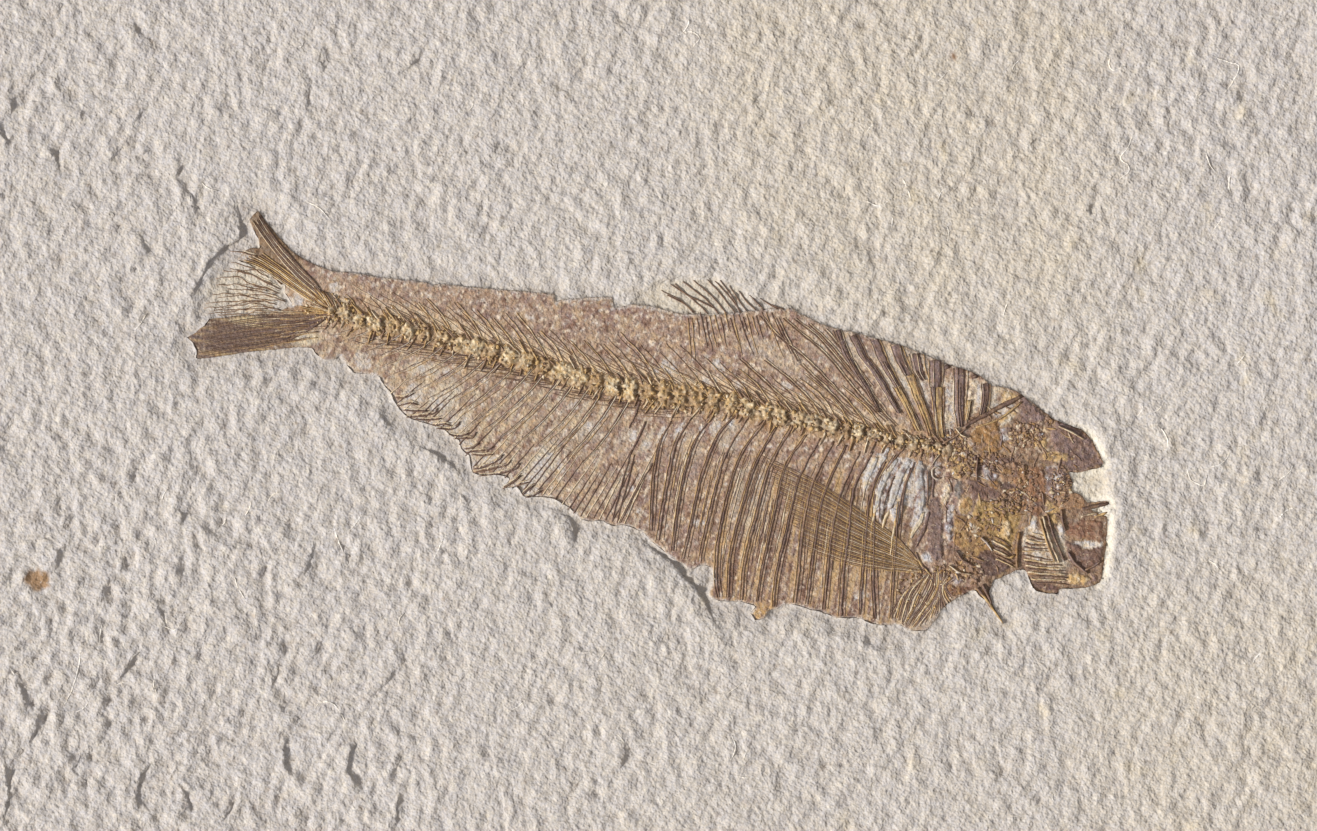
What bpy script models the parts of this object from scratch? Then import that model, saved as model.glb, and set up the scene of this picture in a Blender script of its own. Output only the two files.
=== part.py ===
"""Fossil fish slab: a split block of pale laminated limestone with one flat fossil fish in a shallow hollow.

Two solids. matrix_slab is the block of rock. fossil_fish is the brittle brown sheet of fossil skin and bone
that lies in the block's hollow, with its backbone, ribs, spines, fin rays and skull plates in relief.
The slab lies on its flat underside, +Z up, the head of the fish towards +X and its back towards +Y.
Plan coordinates below are in millimetres from the middle of the slab.
"""

import math

import bmesh
import bpy
from mathutils import Matrix, Vector, noise

MM = 0.001

# ---------------------------------------------------------------- driving sizes, in millimetres
SLAB_LENGTH = 212.0  # the block's outline, which it touches at its furthest points
SLAB_WIDTH = 140.0
SLAB_THICKNESS = 14.0
LENGTH_CELLS = 28
WIDTH_CELLS = 19

LAYER_TOPS = (3.2, 6.8, 10.6)  # heights of the bedding planes that show round the broken edge
LEDGE_HEIGHT = 0.3  # how high the slope of a ledge between two layers is
EDGE_WANDER = 2.2  # slow wander of the broken outline
EDGE_CHIPS = 1.1  # size of the chips between one layer and the next
TOP_SWELL = 0.45  # slow rise and fall of the split face
TOP_LUMPS = 0.22
WANDER_SCALE = 0.028  # waves per millimetre of each unevenness
CHIP_SCALE = 0.11
FLAKE_SCALE = 0.31
SWELL_SCALE = 0.021
LUMP_SCALE = 0.17
LAYER_SHIFT = 5.3  # how far the chips of one layer are shifted in the noise from those of the next

HOLLOW_DEPTH = 1.6  # depth of the hollow below the split face
CUTTER_RISE = 3.0
MERGE = 0.002  # points of a curve's mesh this close are one
GAP = 0.3  # clearance between the fish's sheet and the rock
SHEET_THICKNESS = 0.8
HOLLOW_FLOOR = SLAB_THICKNESS - HOLLOW_DEPTH
SHEET_BOTTOM = HOLLOW_FLOOR + GAP
SHEET_TOP = SHEET_BOTTOM + SHEET_THICKNESS

STONE_COLOUR = (0.58, 0.54, 0.48, 1.0)
FISH_COLOUR = (0.26, 0.18, 0.12, 1.0)

# ---------------------------------------------------------------- outline of the fish's sheet, tail to head
BACK_EDGE = [
    (-60.4, 30.4), (-59.2, 29.0), (-57.6, 26.9), (-55.9, 25.1), (-53.9, 23.6), (-51.5, 22.5),
    (-48.8, 21.8), (-44.0, 21.2), (-40.0, 20.5), (-34.5, 19.6), (-27.0, 19.0), (-20.0, 18.5),
    (-15.5, 17.6), (-11.0, 17.7), (-6.8, 16.8), (-3.5, 16.9), (-1.2, 18.6), (0.6, 19.7),
    (2.6, 20.4), (4.6, 20.7), (7.0, 20.4), (9.2, 19.8), (11.1, 18.7), (13.4, 17.8),
    (15.2, 16.8), (17.2, 15.6), (19.7, 15.9), (22.5, 14.3), (27.0, 12.6), (33.0, 11.0),
    (38.5, 9.3), (43.5, 7.4), (47.5, 5.8), (50.2, 4.0), (54.3, 3.1), (57.0, 0.8),
    (59.5, -0.8), (63.0, -2.1), (64.9, -4.4), (66.3, -7.2),
]  # fmt: skip
HEAD_EDGE = [
    (67.0, -11.0), (67.2, -14.5), (66.8, -18.5), (66.4, -22.0), (66.0, -25.0), (62.0, -25.9),
    (60.0, -26.6), (56.4, -26.0), (54.6, -23.2), (51.8, -23.8), (49.1, -24.9), (50.2, -28.2),
    (51.4, -30.8), (49.6, -29.2), (47.4, -26.0),
]  # fmt: skip
BELLY_EDGE = [
    (43.2, -27.9), (40.2, -32.0), (37.5, -31.9), (33.0, -31.3), (27.5, -30.3), (23.2, -29.0),
    (18.8, -28.1), (15.4, -30.2), (13.7, -28.4), (8.5, -27.5), (8.2, -24.0), (6.3, -22.4),
    (4.2, -23.0), (0.0, -19.7), (-3.0, -17.3), (-9.5, -15.6), (-12.0, -15.4), (-16.3, -12.1),
    (-20.4, -11.9), (-23.4, -10.8), (-27.6, -8.8), (-29.2, -5.6), (-31.4, -2.9), (-35.8, -1.1),
    (-38.0, -0.2), (-39.8, 2.6), (-41.8, 5.5), (-46.5, 6.4), (-48.3, 8.2), (-51.0, 8.7),
    (-54.5, 10.0), (-62.0, 9.5), (-69.3, 8.6),
]  # fmt: skip
TAIL_EDGE = [
    (-70.7, 11.6), (-68.5, 13.5), (-68.8, 16.8), (-66.8, 20.6), (-64.4, 22.4), (-62.0, 24.7),
    (-60.4, 25.4), (-60.7, 27.2), (-61.4, 29.2),
]  # fmt: skip
FISH_OUTLINE = BACK_EDGE + HEAD_EDGE + BELLY_EDGE + TAIL_EDGE

# ---------------------------------------------------------------- backbone
BACKBONE = [
    (-50.5, 15.4), (-44.5, 13.9), (-36.5, 12.5), (-29.0, 10.5), (-21.5, 8.3), (-15.0, 6.5),
    (-9.0, 5.2), (-3.0, 3.9), (3.0, 2.6), (9.0, 1.8), (15.0, 0.7), (21.0, -0.9),
    (27.0, -2.4), (33.0, -3.4), (42.0, -4.8),
]  # fmt: skip
VERTEBRAE = 40
VERTEBRA_RADIUS_TAIL = 0.85
VERTEBRA_RADIUS_MIDDLE = 1.35
COLUMN_START = 0.12  # how far along its swell the column starts at the tail
VERTEBRA_WAIST = 0.72  # radius of a vertebra's waist as a share of its ends
SINK = 0.02  # how far the widest part of a bone lies below the sheet's face, so that no bone is undercut
SINK_STEP = 0.0015
TRIM_MARGIN = 0.05  # the bones end this far inside the sheet's outline

COLUMN_SQUASH = 0.52  # the bones are crushed flat: height of the column as a share of its width
BLADE_SQUASH = 0.6

# ---------------------------------------------------------------- ribs, from the column down to the belly
RIBS = 17
RIB_HEADS = (1.6, 37.0)  # X of the first and last rib where they leave the column
RIB_FEET = (-0.8, 36.2)  # X of the first and last rib at the belly
RIB_FOOT_Y = [(-0.8, -17.6), (4.0, -21.6), (9.6, -26.4), (18.0, -27.2), (27.0, -29.2), (36.2, -29.0)]
RIB_SWEEP = 1.8  # how early a rib turns from leaning back to hanging straight
RIB_KICK = 1.6  # how far a rib's foot turns forward again
RIB_TAPER = (1.1, 0.6)  # shares of the radius at a rib's head and foot
RIB_RADIUS = 0.36
RIB_STEPS = 4

# ---------------------------------------------------------------- spines over and under the column
NEURAL_SPINES = 27
NEURAL_FEET = (-44.0, 31.0)  # X where the first and last spine leave the column
NEURAL_LEAN = (0.66, 0.8)  # how far back the first and last spine lean for each millimetre that they rise
NEURAL_REACH = (0.55, 0.82)  # how far the first and last spine reach towards the back
NEURAL_BEND = 1.25
NEURAL_TAPER = (1.15, 0.65)
HAEMAL_SPINES = 15
HAEMAL_FEET = (-43.0, -3.0)
HAEMAL_LENGTHS = (5.5, 15.0)
HAEMAL_SLOPES = (212.0, 243.0)  # direction of the first and last spine, in degrees
HAEMAL_BEND = 0.16
HAEMAL_TAPER = (1.3, 0.7)
SPINE_RADIUS = 0.27

BLADES = [
    # the broad bones in front of the back fin: top, middle and foot of each, and the radius
    ((48.9, 4.6), (48.7, 2.6), (48.2, 0.2), 0.62),
    ((45.0, 7.0), (45.1, 3.0), (45.3, -1.8), 0.72),
    ((41.4, 8.3), (41.4, 3.5), (41.9, -2.6), 0.8),
    ((38.0, 9.5), (38.5, 4.5), (41.4, -3.2), 0.76),
    ((34.4, 10.8), (35.4, 5.4), (38.9, -2.8), 0.66),
    ((31.0, 11.6), (33.0, 5.6), (37.2, -2.4), 0.5),
    ((28.5, 12.2), (30.3, 6.4), (34.6, -1.8), 0.5),
    ((26.4, 12.6), (28.6, 7.4), (32.2, -0.6), 0.4),
]

# ---------------------------------------------------------------- fins
ANAL_BASE = [
    (-41.3, 5.2), (-37.4, 1.8), (-33.0, 0.0), (-28.4, -3.6), (-24.4, -7.0), (-18.0, -11.2), (-11.0, -15.0),
]  # fmt: skip
ANAL_RAYS = 16
ANAL_RAY_LENGTHS = (2.5, 1.1)  # of the free rays, and of those buried at the belly end
ANAL_BURIED_FROM = 0.7
ANAL_RAY_DIRECTION = (-1.0, -0.16)
ANAL_RADII = (0.2, 0.3)  # at a ray's thin ends and at its joint
ANAL_SUPPORT_LENGTHS = (4.6, 9.5)  # at the tail end and at the belly end
ANAL_SUPPORT_SLOPES = (40.0, 58.0)
DORSAL_BASE = ((5.6, 15.0), (16.2, 15.6))
DORSAL_TIPS = [
    (1.2, 18.3), (2.6, 19.3), (4.6, 20.1), (7.4, 19.9), (9.6, 19.2), (11.5, 18.3), (13.8, 17.3), (15.4, 16.5),
]  # fmt: skip
TAIL_ROOT = (-50.6, 15.4)
UPPER_LOBE_TIPS = [(-60.6, 29.6), (-60.4, 28.2), (-60.2, 26.4), (-61.4, 24.4), (-62.2, 23.4)]
MIDDLE_TAIL_TIPS = [(-66.2, 19.8), (-67.8, 17.0), (-67.9, 15.2)]
LOWER_LOBE_TIPS = [(-68.4, 13.2), (-69.8, 11.8), (-69.4, 10.4), (-68.6, 9.4)]
PECTORAL_ROOT = (38.6, -22.6)
PECTORAL_TIPS = [(15.2, -6.6), (17.4, -9.6), (18.4, -13.2), (19.8, -17.0), (22.8, -20.6)]
PELVIC_ROOT = (41.2, -24.6)
PELVIC_TIPS = [(33.6, -29.6), (36.6, -30.6), (39.6, -30.8), (41.8, -28.8)]
RAY_RADIUS = 0.24
UPPER_LOBE_RADIUS = 0.34
LOWER_LOBE_RADIUS = 0.36
PELVIC_RADIUS = 0.4
RAY_TAPER = (1.25, 0.7)

# ---------------------------------------------------------------- skull
SKULL_PLATES = {
    # name: (outline, height above the sheet)
    "forehead": ([(54.2, 2.7), (57.9, -0.1), (57.2, -1.2), (53.9, -1.4)], 0.35),
    "snout_roof": (
        [(59.4, -1.2), (62.9, -2.4), (64.7, -4.6), (65.9, -7.2), (61.6, -8.5), (58.6, -6.4), (57.8, -2.6)],
        0.55,
    ),
    "amber_plate": ([(48.6, -1.2), (50.6, -0.8), (51.2, -4.6), (49.6, -5.0), (47.2, -2.4)], 0.3),
    "brain_case": (
        [
            (46.0, -3.4), (50.0, -5.4), (57.6, -3.2), (60.4, -7.4),
            (61.6, -12.2), (55.4, -14.2), (47.2, -12.6), (44.6, -8.4),
        ],
        0.62,
    ),
    "gill_cover": (
        [
            (44.0, -13.2), (47.2, -12.9), (55.0, -14.6), (54.6, -19.0),
            (53.2, -22.6), (48.6, -22.0), (44.4, -19.4),
        ],
        0.42,
    ),
    "throat_plate": ([(46.2, -20.6), (52.6, -22.9), (49.4, -24.5), (44.8, -26.4), (42.6, -24.6)], 0.34),
    "cheek": ([(57.2, -13.6), (60.8, -13.8), (61.6, -16.4), (59.6, -17.4), (57.4, -16.4)], 0.5),
    "upper_jaw": ([(61.4, -15.8), (66.3, -15.6), (66.4, -18.3), (62.4, -18.5), (60.9, -17.2)], 0.46),
    "mouth_plate": (
        [(60.8, -18.8), (64.0, -20.4), (66.2, -19.6), (65.9, -22.4), (62.6, -22.8), (60.4, -21.2)],
        0.4,
    ),
    "lower_jaw": ([(55.6, -24.1), (61.0, -23.6), (65.6, -24.8), (62.0, -25.6), (56.8, -25.4)], 0.46),
    "shoulder_blade": (
        [
            (40.3, -10.6), (41.7, -10.4), (42.4, -15.0), (42.6, -21.0),
            (41.8, -22.2), (40.6, -21.4), (40.1, -15.4),
        ],
        0.6,
    ),
}
SKULL_LUMPS = [
    # rounded bones: middle, half sizes in plan, height
    ((45.1, -6.6), (2.1, 2.6), 0.95),
    ((49.8, -8.4), (1.7, 1.5), 0.9),
    ((53.4, -5.0), (2.2, 1.3), 0.85),
    ((56.8, -8.6), (1.9, 1.7), 0.8),
    ((52.0, -16.9), (1.2, 1.8), 0.65),
    ((43.2, -11.8), (0.7, 2.0), 0.8),
    ((43.3, -16.6), (0.6, 2.8), 0.75),
    ((60.0, -10.6), (1.5, 1.5), 0.75),
]
SKULL_ROD_HEIGHT = 0.7
SKULL_STEP = 0.006  # each bone of the skull ends a hair higher than the one before it
SKULL_RODS = [
    # slender bones: start, end, half width
    ((46.4, -1.3), (54.0, 2.7), 0.34),
    ((57.0, -14.6), (59.9, -22.4), 0.36),
    ((58.6, -15.4), (61.6, -22.8), 0.32),
    ((63.6, -13.8), (66.8, -13.3), 0.3),
    ((54.6, -21.3), (60.6, -22.2), 0.28),
    ((54.8, -22.6), (61.2, -23.2), 0.28),
    ((48.2, -18.4), (53.6, -22.2), 0.32),
    ((37.6, -19.6), (40.4, -14.6), 0.34),
]


# ---------------------------------------------------------------- helpers
def between(ends, share):
    """The value at a share of the way from the first of two ends to the second."""
    return ends[0] + (ends[1] - ends[0]) * share


def along(points, share):
    """The point at a share of the length of a polyline."""
    ends = [Vector(p) for p in points]
    spans = [(b - a).length for a, b in zip(ends, ends[1:])]
    left = share * sum(spans)
    for start, end, span in zip(ends, ends[1:], spans):
        if left <= span:
            return start.lerp(end, left / span)
        left -= span
    return ends[-1]


def height_at(points, x):
    """The Y of a polyline, whose points run towards +X, at this X."""
    for (x0, y0), (x1, y1) in zip(points, points[1:]):
        if x <= x1:
            return y0 + (y1 - y0) * (x - x0) / (x1 - x0)
    return points[-1][1]


def column_radius(share):
    """The column is thickest a little behind the middle of the fish and thins towards the tail."""
    swell = math.sin(math.pi * (COLUMN_START + share * (1.0 - COLUMN_START)))
    return between((VERTEBRA_RADIUS_TAIL, VERTEBRA_RADIUS_MIDDLE), swell)


def material(name, colour, roughness):
    made = bpy.data.materials.new(name)
    made.use_nodes = True
    shader = made.node_tree.nodes["Principled BSDF"]
    shader.inputs["Base Color"].default_value = colour
    shader.inputs["Roughness"].default_value = roughness
    shader.inputs["Metallic"].default_value = 0.0
    made.diffuse_color = colour
    return made


def collection(name):
    made = bpy.data.collections.new(name)
    bpy.context.scene.collection.children.link(made)
    return made


def mesh_object(name, mesh, home):
    made = bpy.data.objects.new(name, mesh)
    home.objects.link(made)
    return made


def as_mesh(curve_object, name, home):
    """Turns a curve object into a closed mesh object and removes the curve."""
    bpy.context.view_layer.update()
    graph = bpy.context.evaluated_depsgraph_get()
    mesh = bpy.data.meshes.new_from_object(curve_object.evaluated_get(graph))
    bm = bmesh.new()
    bm.from_mesh(mesh)
    bmesh.ops.remove_doubles(bm, verts=bm.verts, dist=MERGE * MM)
    bmesh.ops.recalc_face_normals(bm, faces=bm.faces)
    bm.to_mesh(mesh)
    bm.free()
    made = mesh_object(name, mesh, home)
    bpy.data.objects.remove(curve_object)
    return made


def plate(name, outline, bottom, top, home):
    """A flat outline in millimetres as a solid between two heights."""
    data = bpy.data.curves.new(name, "CURVE")
    data.dimensions = "2D"
    data.fill_mode = "BOTH"
    data.extrude = (top - bottom) / 2 * MM
    spline = data.splines.new("POLY")
    spline.points.add(len(outline) - 1)
    for point, (x, y) in zip(spline.points, outline):
        point.co = (x * MM, y * MM, 0.0, 1.0)
    spline.use_cyclic_u = True
    curve = bpy.data.objects.new(name + "_curve", data)
    home.objects.link(curve)
    made = as_mesh(curve, name, home)
    made.data.transform(Matrix.Translation((0.0, 0.0, (top + bottom) / 2 * MM)))
    return made


def rods(name, lines, home, squash=1.0, sides=0):
    """Slender bones as one mesh of capped tubes, half sunk in the sheet.

    Each line is (points in plan, radii). Each tube lies a hair lower than the one before it, so no two
    have faces in one plane.
    """
    data = bpy.data.curves.new(name, "CURVE")
    data.dimensions = "3D"
    data.twist_mode = "Z_UP"
    data.bevel_depth = MM
    data.bevel_resolution = sides
    data.use_fill_caps = True
    for number, (points, radii) in enumerate(lines):
        spline = data.splines.new("POLY")
        spline.points.add(len(points) - 1)
        for point, (x, y), radius in zip(spline.points, points, radii):
            point.co = (x * MM, y * MM, -SINK_STEP * number * MM, 1.0)
            point.radius = radius
    curve = bpy.data.objects.new(name + "_curve", data)
    home.objects.link(curve)
    made = as_mesh(curve, name, home)
    made.data.transform(Matrix.Diagonal((1.0, 1.0, squash, 1.0)))
    made.data.transform(Matrix.Translation((0.0, 0.0, (SHEET_TOP - SINK) * MM)))
    return made


def fan(root, tips, steps=2, bow=0.0, radius=RAY_RADIUS, gather=0.12):
    """Fin rays that spread from a root to their tips, bowed sideways."""
    lines = []
    for tip in tips:
        start = Vector(root).lerp(Vector(tip), gather)
        run = Vector(tip) - start
        side = Vector((-run.y, run.x)) * bow
        points = [start + run * (k / steps) + side * math.sin(math.pi * k / steps) for k in range(steps + 1)]
        radii = [radius * between(RAY_TAPER, k / steps) for k in range(steps + 1)]
        lines.append(([tuple(p) for p in points], radii))
    return lines


def strip(start, end, half_width):
    """Outline of a slender bone, a little narrower at its far end."""
    a, b = Vector(start), Vector(end)
    side = Vector((a.y - b.y, b.x - a.x)).normalized() * half_width
    return [tuple(a + side), tuple(b + side * 0.7), tuple(b - side * 0.7), tuple(a - side)]


# ---------------------------------------------------------------- the slab
def cut_across(bm, axis, places):
    """Cuts the block across one axis at each place."""
    normal = Vector((0.0, 0.0, 0.0))
    normal[axis] = 1.0
    for place in places:
        point = Vector((0.0, 0.0, 0.0))
        point[axis] = place * MM
        geometry = bm.verts[:] + bm.edges[:] + bm.faces[:]
        bmesh.ops.bisect_plane(bm, geom=geometry, plane_co=point, plane_no=normal)


def layer_of(height):
    """Number of the bedding layer, counted from the underside."""
    return sum(height > top for top in LAYER_TOPS)


def broken_edge(x, y, height):
    """How far the broken edge stands in from the driving rectangle at this place."""
    shift = LAYER_SHIFT * layer_of(height)
    wander = noise.noise(Vector((x * WANDER_SCALE, y * WANDER_SCALE, 3.7)))
    chips = noise.noise(Vector((x * CHIP_SCALE, y * CHIP_SCALE, 9.1 + shift)))
    flakes = noise.noise(Vector((x * FLAKE_SCALE, y * FLAKE_SCALE, 21.0 + shift)))
    return EDGE_WANDER * (0.55 + wander) + EDGE_CHIPS * (0.6 + chips + 0.35 * flakes)


def top_relief(x, y):
    """Height of the split face above its mean level."""
    swell = noise.noise(Vector((x * SWELL_SCALE, y * SWELL_SCALE, 1.3)))
    lumps = noise.noise(Vector((x * LUMP_SCALE, y * LUMP_SCALE, 6.6)))
    return TOP_SWELL * swell + TOP_LUMPS * lumps


def make_slab(home, cutters):
    """A block cut into a grid, its sides broken back layer by layer, its split face uneven, then hollowed."""
    bm = bmesh.new()
    bmesh.ops.create_cube(bm, size=1.0)
    bmesh.ops.scale(bm, vec=Vector((SLAB_LENGTH, SLAB_WIDTH, SLAB_THICKNESS)) * MM, verts=bm.verts)
    bmesh.ops.translate(bm, vec=Vector((0.0, 0.0, SLAB_THICKNESS / 2 * MM)), verts=bm.verts)
    cut_across(bm, 0, [SLAB_LENGTH * (k / LENGTH_CELLS - 0.5) for k in range(1, LENGTH_CELLS)])
    cut_across(bm, 1, [SLAB_WIDTH * (k / WIDTH_CELLS - 0.5) for k in range(1, WIDTH_CELLS)])
    cut_across(bm, 2, [top + side * LEDGE_HEIGHT / 2 for top in LAYER_TOPS for side in (-1, 1)])
    inner_base = [v for v in bm.verts if v.co.z < 0.01 * MM and not on_side(v.co)]
    bmesh.ops.dissolve_verts(bm, verts=inner_base)
    for v in bm.verts:
        x, y, z = (c / MM for c in v.co)
        if on_side(v.co):
            inward = broken_edge(x, y, z)
            half_length, half_width = SLAB_LENGTH / 2, SLAB_WIDTH / 2
            v.co.x = max(-half_length + inward, min(half_length - inward, x)) * MM
            v.co.y = max(-half_width + inward, min(half_width - inward, y)) * MM
        if z > SLAB_THICKNESS - 0.01:
            v.co.z = (SLAB_THICKNESS + top_relief(x, y)) * MM
    fit_to_size(bm, 0, SLAB_LENGTH)
    fit_to_size(bm, 1, SLAB_WIDTH)
    mesh = bpy.data.meshes.new("matrix_slab")
    bm.to_mesh(mesh)
    bm.free()
    slab = mesh_object("matrix_slab", mesh, home)
    rim = SLAB_THICKNESS + CUTTER_RISE
    hollow = plate("hollow_cutter", widened(FISH_OUTLINE, GAP), HOLLOW_FLOOR, rim, cutters)
    combine(slab, hollow, "DIFFERENCE")
    slab.data.materials.append(material("limestone", STONE_COLOUR, 0.9))
    return slab


def fit_to_size(bm, axis, size):
    """Centres the block along one axis and makes it exactly as long as its driving size."""
    low = min(v.co[axis] for v in bm.verts)
    high = max(v.co[axis] for v in bm.verts)
    for v in bm.verts:
        v.co[axis] = (v.co[axis] - (low + high) / 2) * size * MM / (high - low)


def on_side(co):
    """Whether a point of the uncut block lies on one of its four sides."""
    return abs(co.x) > (SLAB_LENGTH / 2 - 0.01) * MM or abs(co.y) > (SLAB_WIDTH / 2 - 0.01) * MM


def widened(outline, margin):
    """The outline moved outwards by a margin at every point. The outline runs clockwise."""
    made = []
    for before, here, after in zip(outline[-1:] + outline[:-1], outline, outline[1:] + outline[:1]):
        came = (Vector(here) - Vector(before)).normalized()
        goes = (Vector(after) - Vector(here)).normalized()
        out = Vector((-came.y - goes.y, came.x + goes.x)).normalized()
        sharp = max(0.5, math.cos(came.angle(goes) / 2))
        made.append(tuple(Vector(here) + out * margin / sharp))
    return made


# ---------------------------------------------------------------- the fish
def column_lines():
    """The backbone as one tube that swells at each vertebra's ends and narrows at its waist."""
    steps = VERTEBRAE * 2
    points, radii = [], []
    for k in range(steps + 1):
        share = k / steps
        points.append(tuple(along(BACKBONE, share)))
        radii.append(column_radius(share) * (1.0 if k % 2 else VERTEBRA_WAIST))
    return [(points, radii)]


def rib_lines():
    """Ribs hang from the column, leaning back at first and straighter below."""
    lines = []
    for number in range(RIBS):
        share = number / (RIBS - 1)
        head_x = between(RIB_HEADS, share)
        foot_x = between(RIB_FEET, share)
        head_y = height_at(BACKBONE, head_x) - 1.0
        foot_y = height_at(RIB_FOOT_Y, foot_x)
        points = []
        for k in range(RIB_STEPS + 1):
            down = k / RIB_STEPS
            lean = 1.0 - (1.0 - down) ** RIB_SWEEP
            x = between((head_x, foot_x - RIB_KICK), lean) + RIB_KICK * down
            points.append((x, between((head_y, foot_y), down)))
        radii = [RIB_RADIUS * between(RIB_TAPER, k / RIB_STEPS) for k in range(RIB_STEPS + 1)]
        lines.append((points, radii))
    return lines


def back_height(x):
    """Y of the fish's back at this X, without the back fin."""
    return height_at([p for p in BACK_EDGE if not -3.0 < p[0] < 17.0], x)


def neural_lines():
    """Spines over the column, leaning back. The foremost reach nearly to the back."""
    lines = []
    for number in range(NEURAL_SPINES):
        share = number / (NEURAL_SPINES - 1)
        foot_x = between(NEURAL_FEET, share)
        foot_y = height_at(BACKBONE, foot_x) + 0.9
        rise = (back_height(foot_x - 4.0) - foot_y) * between(NEURAL_REACH, share)
        lean = between(NEURAL_LEAN, share)
        points = [(foot_x - lean * rise * s**NEURAL_BEND, foot_y + rise * s) for s in (0.0, 0.5, 1.0)]
        radii = [SPINE_RADIUS * between(NEURAL_TAPER, s) for s in (0.0, 0.5, 1.0)]
        lines.append((points, radii))
    return lines


def haemal_lines():
    """Spines under the column behind the ribs, running back and down towards the anal fin."""
    lines = []
    for number in range(HAEMAL_SPINES):
        share = number / (HAEMAL_SPINES - 1)
        foot_x = between(HAEMAL_FEET, share)
        start = Vector((foot_x, height_at(BACKBONE, foot_x) - 0.8))
        length = between(HAEMAL_LENGTHS, share)
        slope = math.radians(between(HAEMAL_SLOPES, share))
        points = []
        for s in (0.0, 0.5, 1.0):
            bent = slope + HAEMAL_BEND * (s - 0.5)
            points.append(tuple(start + Vector((math.cos(bent), math.sin(bent))) * length * s))
        radii = [SPINE_RADIUS * between(HAEMAL_TAPER, s) for s in (0.0, 0.5, 1.0)]
        lines.append((points, radii))
    return lines


def anal_lines():
    """The anal fin: short rays that trail back from the belly edge, each on a support inside the body."""
    lines = []
    for number in range(ANAL_RAYS):
        share = number / (ANAL_RAYS - 1)
        joint = along(ANAL_BASE, share)
        support = between(ANAL_SUPPORT_LENGTHS, share)
        rise = math.radians(between(ANAL_SUPPORT_SLOPES, share))
        inner = joint + Vector((math.cos(rise), math.sin(rise))) * support
        tip = joint + Vector(ANAL_RAY_DIRECTION) * ANAL_RAY_LENGTHS[share >= ANAL_BURIED_FROM]
        thin, thick = ANAL_RADII
        lines.append(([tuple(inner), tuple(joint)], [thin, thick]))
        lines.append(([tuple(joint), tuple(tip)], [thick, thin]))
    return lines


def blade_lines():
    return [([top, middle, foot], [size, size * 0.9, size * 0.45]) for top, middle, foot, size in BLADES]


def fin_lines():
    """Rays of the back fin, the tail's two lobes, the chest fin and the belly fin."""
    rays = []
    for number, tip in enumerate(DORSAL_TIPS):
        share = number / (len(DORSAL_TIPS) - 1)
        base = Vector(DORSAL_BASE[0]).lerp(Vector(DORSAL_BASE[1]), share)
        rays += fan(tuple(base), [tip], bow=0.05, gather=0.0)
    rays += fan(TAIL_ROOT, UPPER_LOBE_TIPS, bow=-0.04, radius=UPPER_LOBE_RADIUS, gather=0.06)
    rays += fan(TAIL_ROOT, MIDDLE_TAIL_TIPS, bow=0.03, gather=0.35)
    rays += fan(TAIL_ROOT, LOWER_LOBE_TIPS, bow=0.02, radius=LOWER_LOBE_RADIUS, gather=0.06)
    rays += fan(PECTORAL_ROOT, PECTORAL_TIPS, bow=-0.07, gather=0.02)
    rays += fan(PELVIC_ROOT, PELVIC_TIPS, bow=-0.08, radius=PELVIC_RADIUS, gather=0.1)
    return rays


def slender_lines():
    return rib_lines() + neural_lines() + haemal_lines() + anal_lines() + fin_lines()


def lump(name, middle, half_sizes, height, home):
    """A rounded bone, sunk to its widest part in the sheet."""
    bm = bmesh.new()
    bmesh.ops.create_icosphere(bm, subdivisions=1, radius=1.0)
    bmesh.ops.scale(bm, vec=Vector((*half_sizes, height)) * MM, verts=bm.verts)
    under = [v for v in bm.verts if v.co.z < 0.0]
    bmesh.ops.scale(bm, vec=Vector((1.0, 1.0, 0.5)), verts=under)
    bmesh.ops.translate(bm, vec=Vector((middle[0], middle[1], SHEET_TOP - SINK)) * MM, verts=bm.verts)
    mesh = bpy.data.meshes.new(name)
    bm.to_mesh(mesh)
    bm.free()
    return mesh_object(name, mesh, home)


def make_bones(home):
    """Every bone of the fish, as overlapping solids."""
    bones = [
        rods("column", column_lines(), home, squash=COLUMN_SQUASH, sides=1),
        rods("slender_bones", slender_lines(), home),
        rods("back_blades", blade_lines(), home, squash=BLADE_SQUASH),
    ]
    number = 0
    for start, end, half_width in SKULL_RODS:
        bones.append(skull_piece(number, strip(start, end, half_width), SKULL_ROD_HEIGHT, home))
        number += 1
    for outline, height in SKULL_PLATES.values():
        bones.append(skull_piece(number, outline, height, home))
        number += 1
    for middle, half_sizes, height in SKULL_LUMPS:
        bones.append(lump(f"skull_{number}", middle, half_sizes, height, home))
        number += 1
    return bones


def skull_piece(number, outline, height, home):
    """A flat bone of the skull, its faces a hair off those of every other."""
    bottom = SHEET_BOTTOM + SHEET_THICKNESS / 3 + SKULL_STEP * number
    return plate(f"skull_{number}", outline, bottom, SHEET_TOP + height + SKULL_STEP * number, home)


def joined(name, pieces, home):
    """One object that holds the meshes of several, which are removed."""
    bm = bmesh.new()
    for piece in pieces:
        bm.from_mesh(piece.data)
        bpy.data.objects.remove(piece)
    mesh = bpy.data.meshes.new(name)
    bm.to_mesh(mesh)
    bm.free()
    return mesh_object(name, mesh, home)


def combine(target, other, operation, overlapping=False):
    """Adds a Boolean with another object, which is then only a cutter."""
    other.hide_render = True
    other.display_type = "WIRE"
    step = target.modifiers.new(other.name, "BOOLEAN")
    step.operation = operation
    step.solver = "EXACT"
    step.use_self = overlapping
    step.object = other


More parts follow.
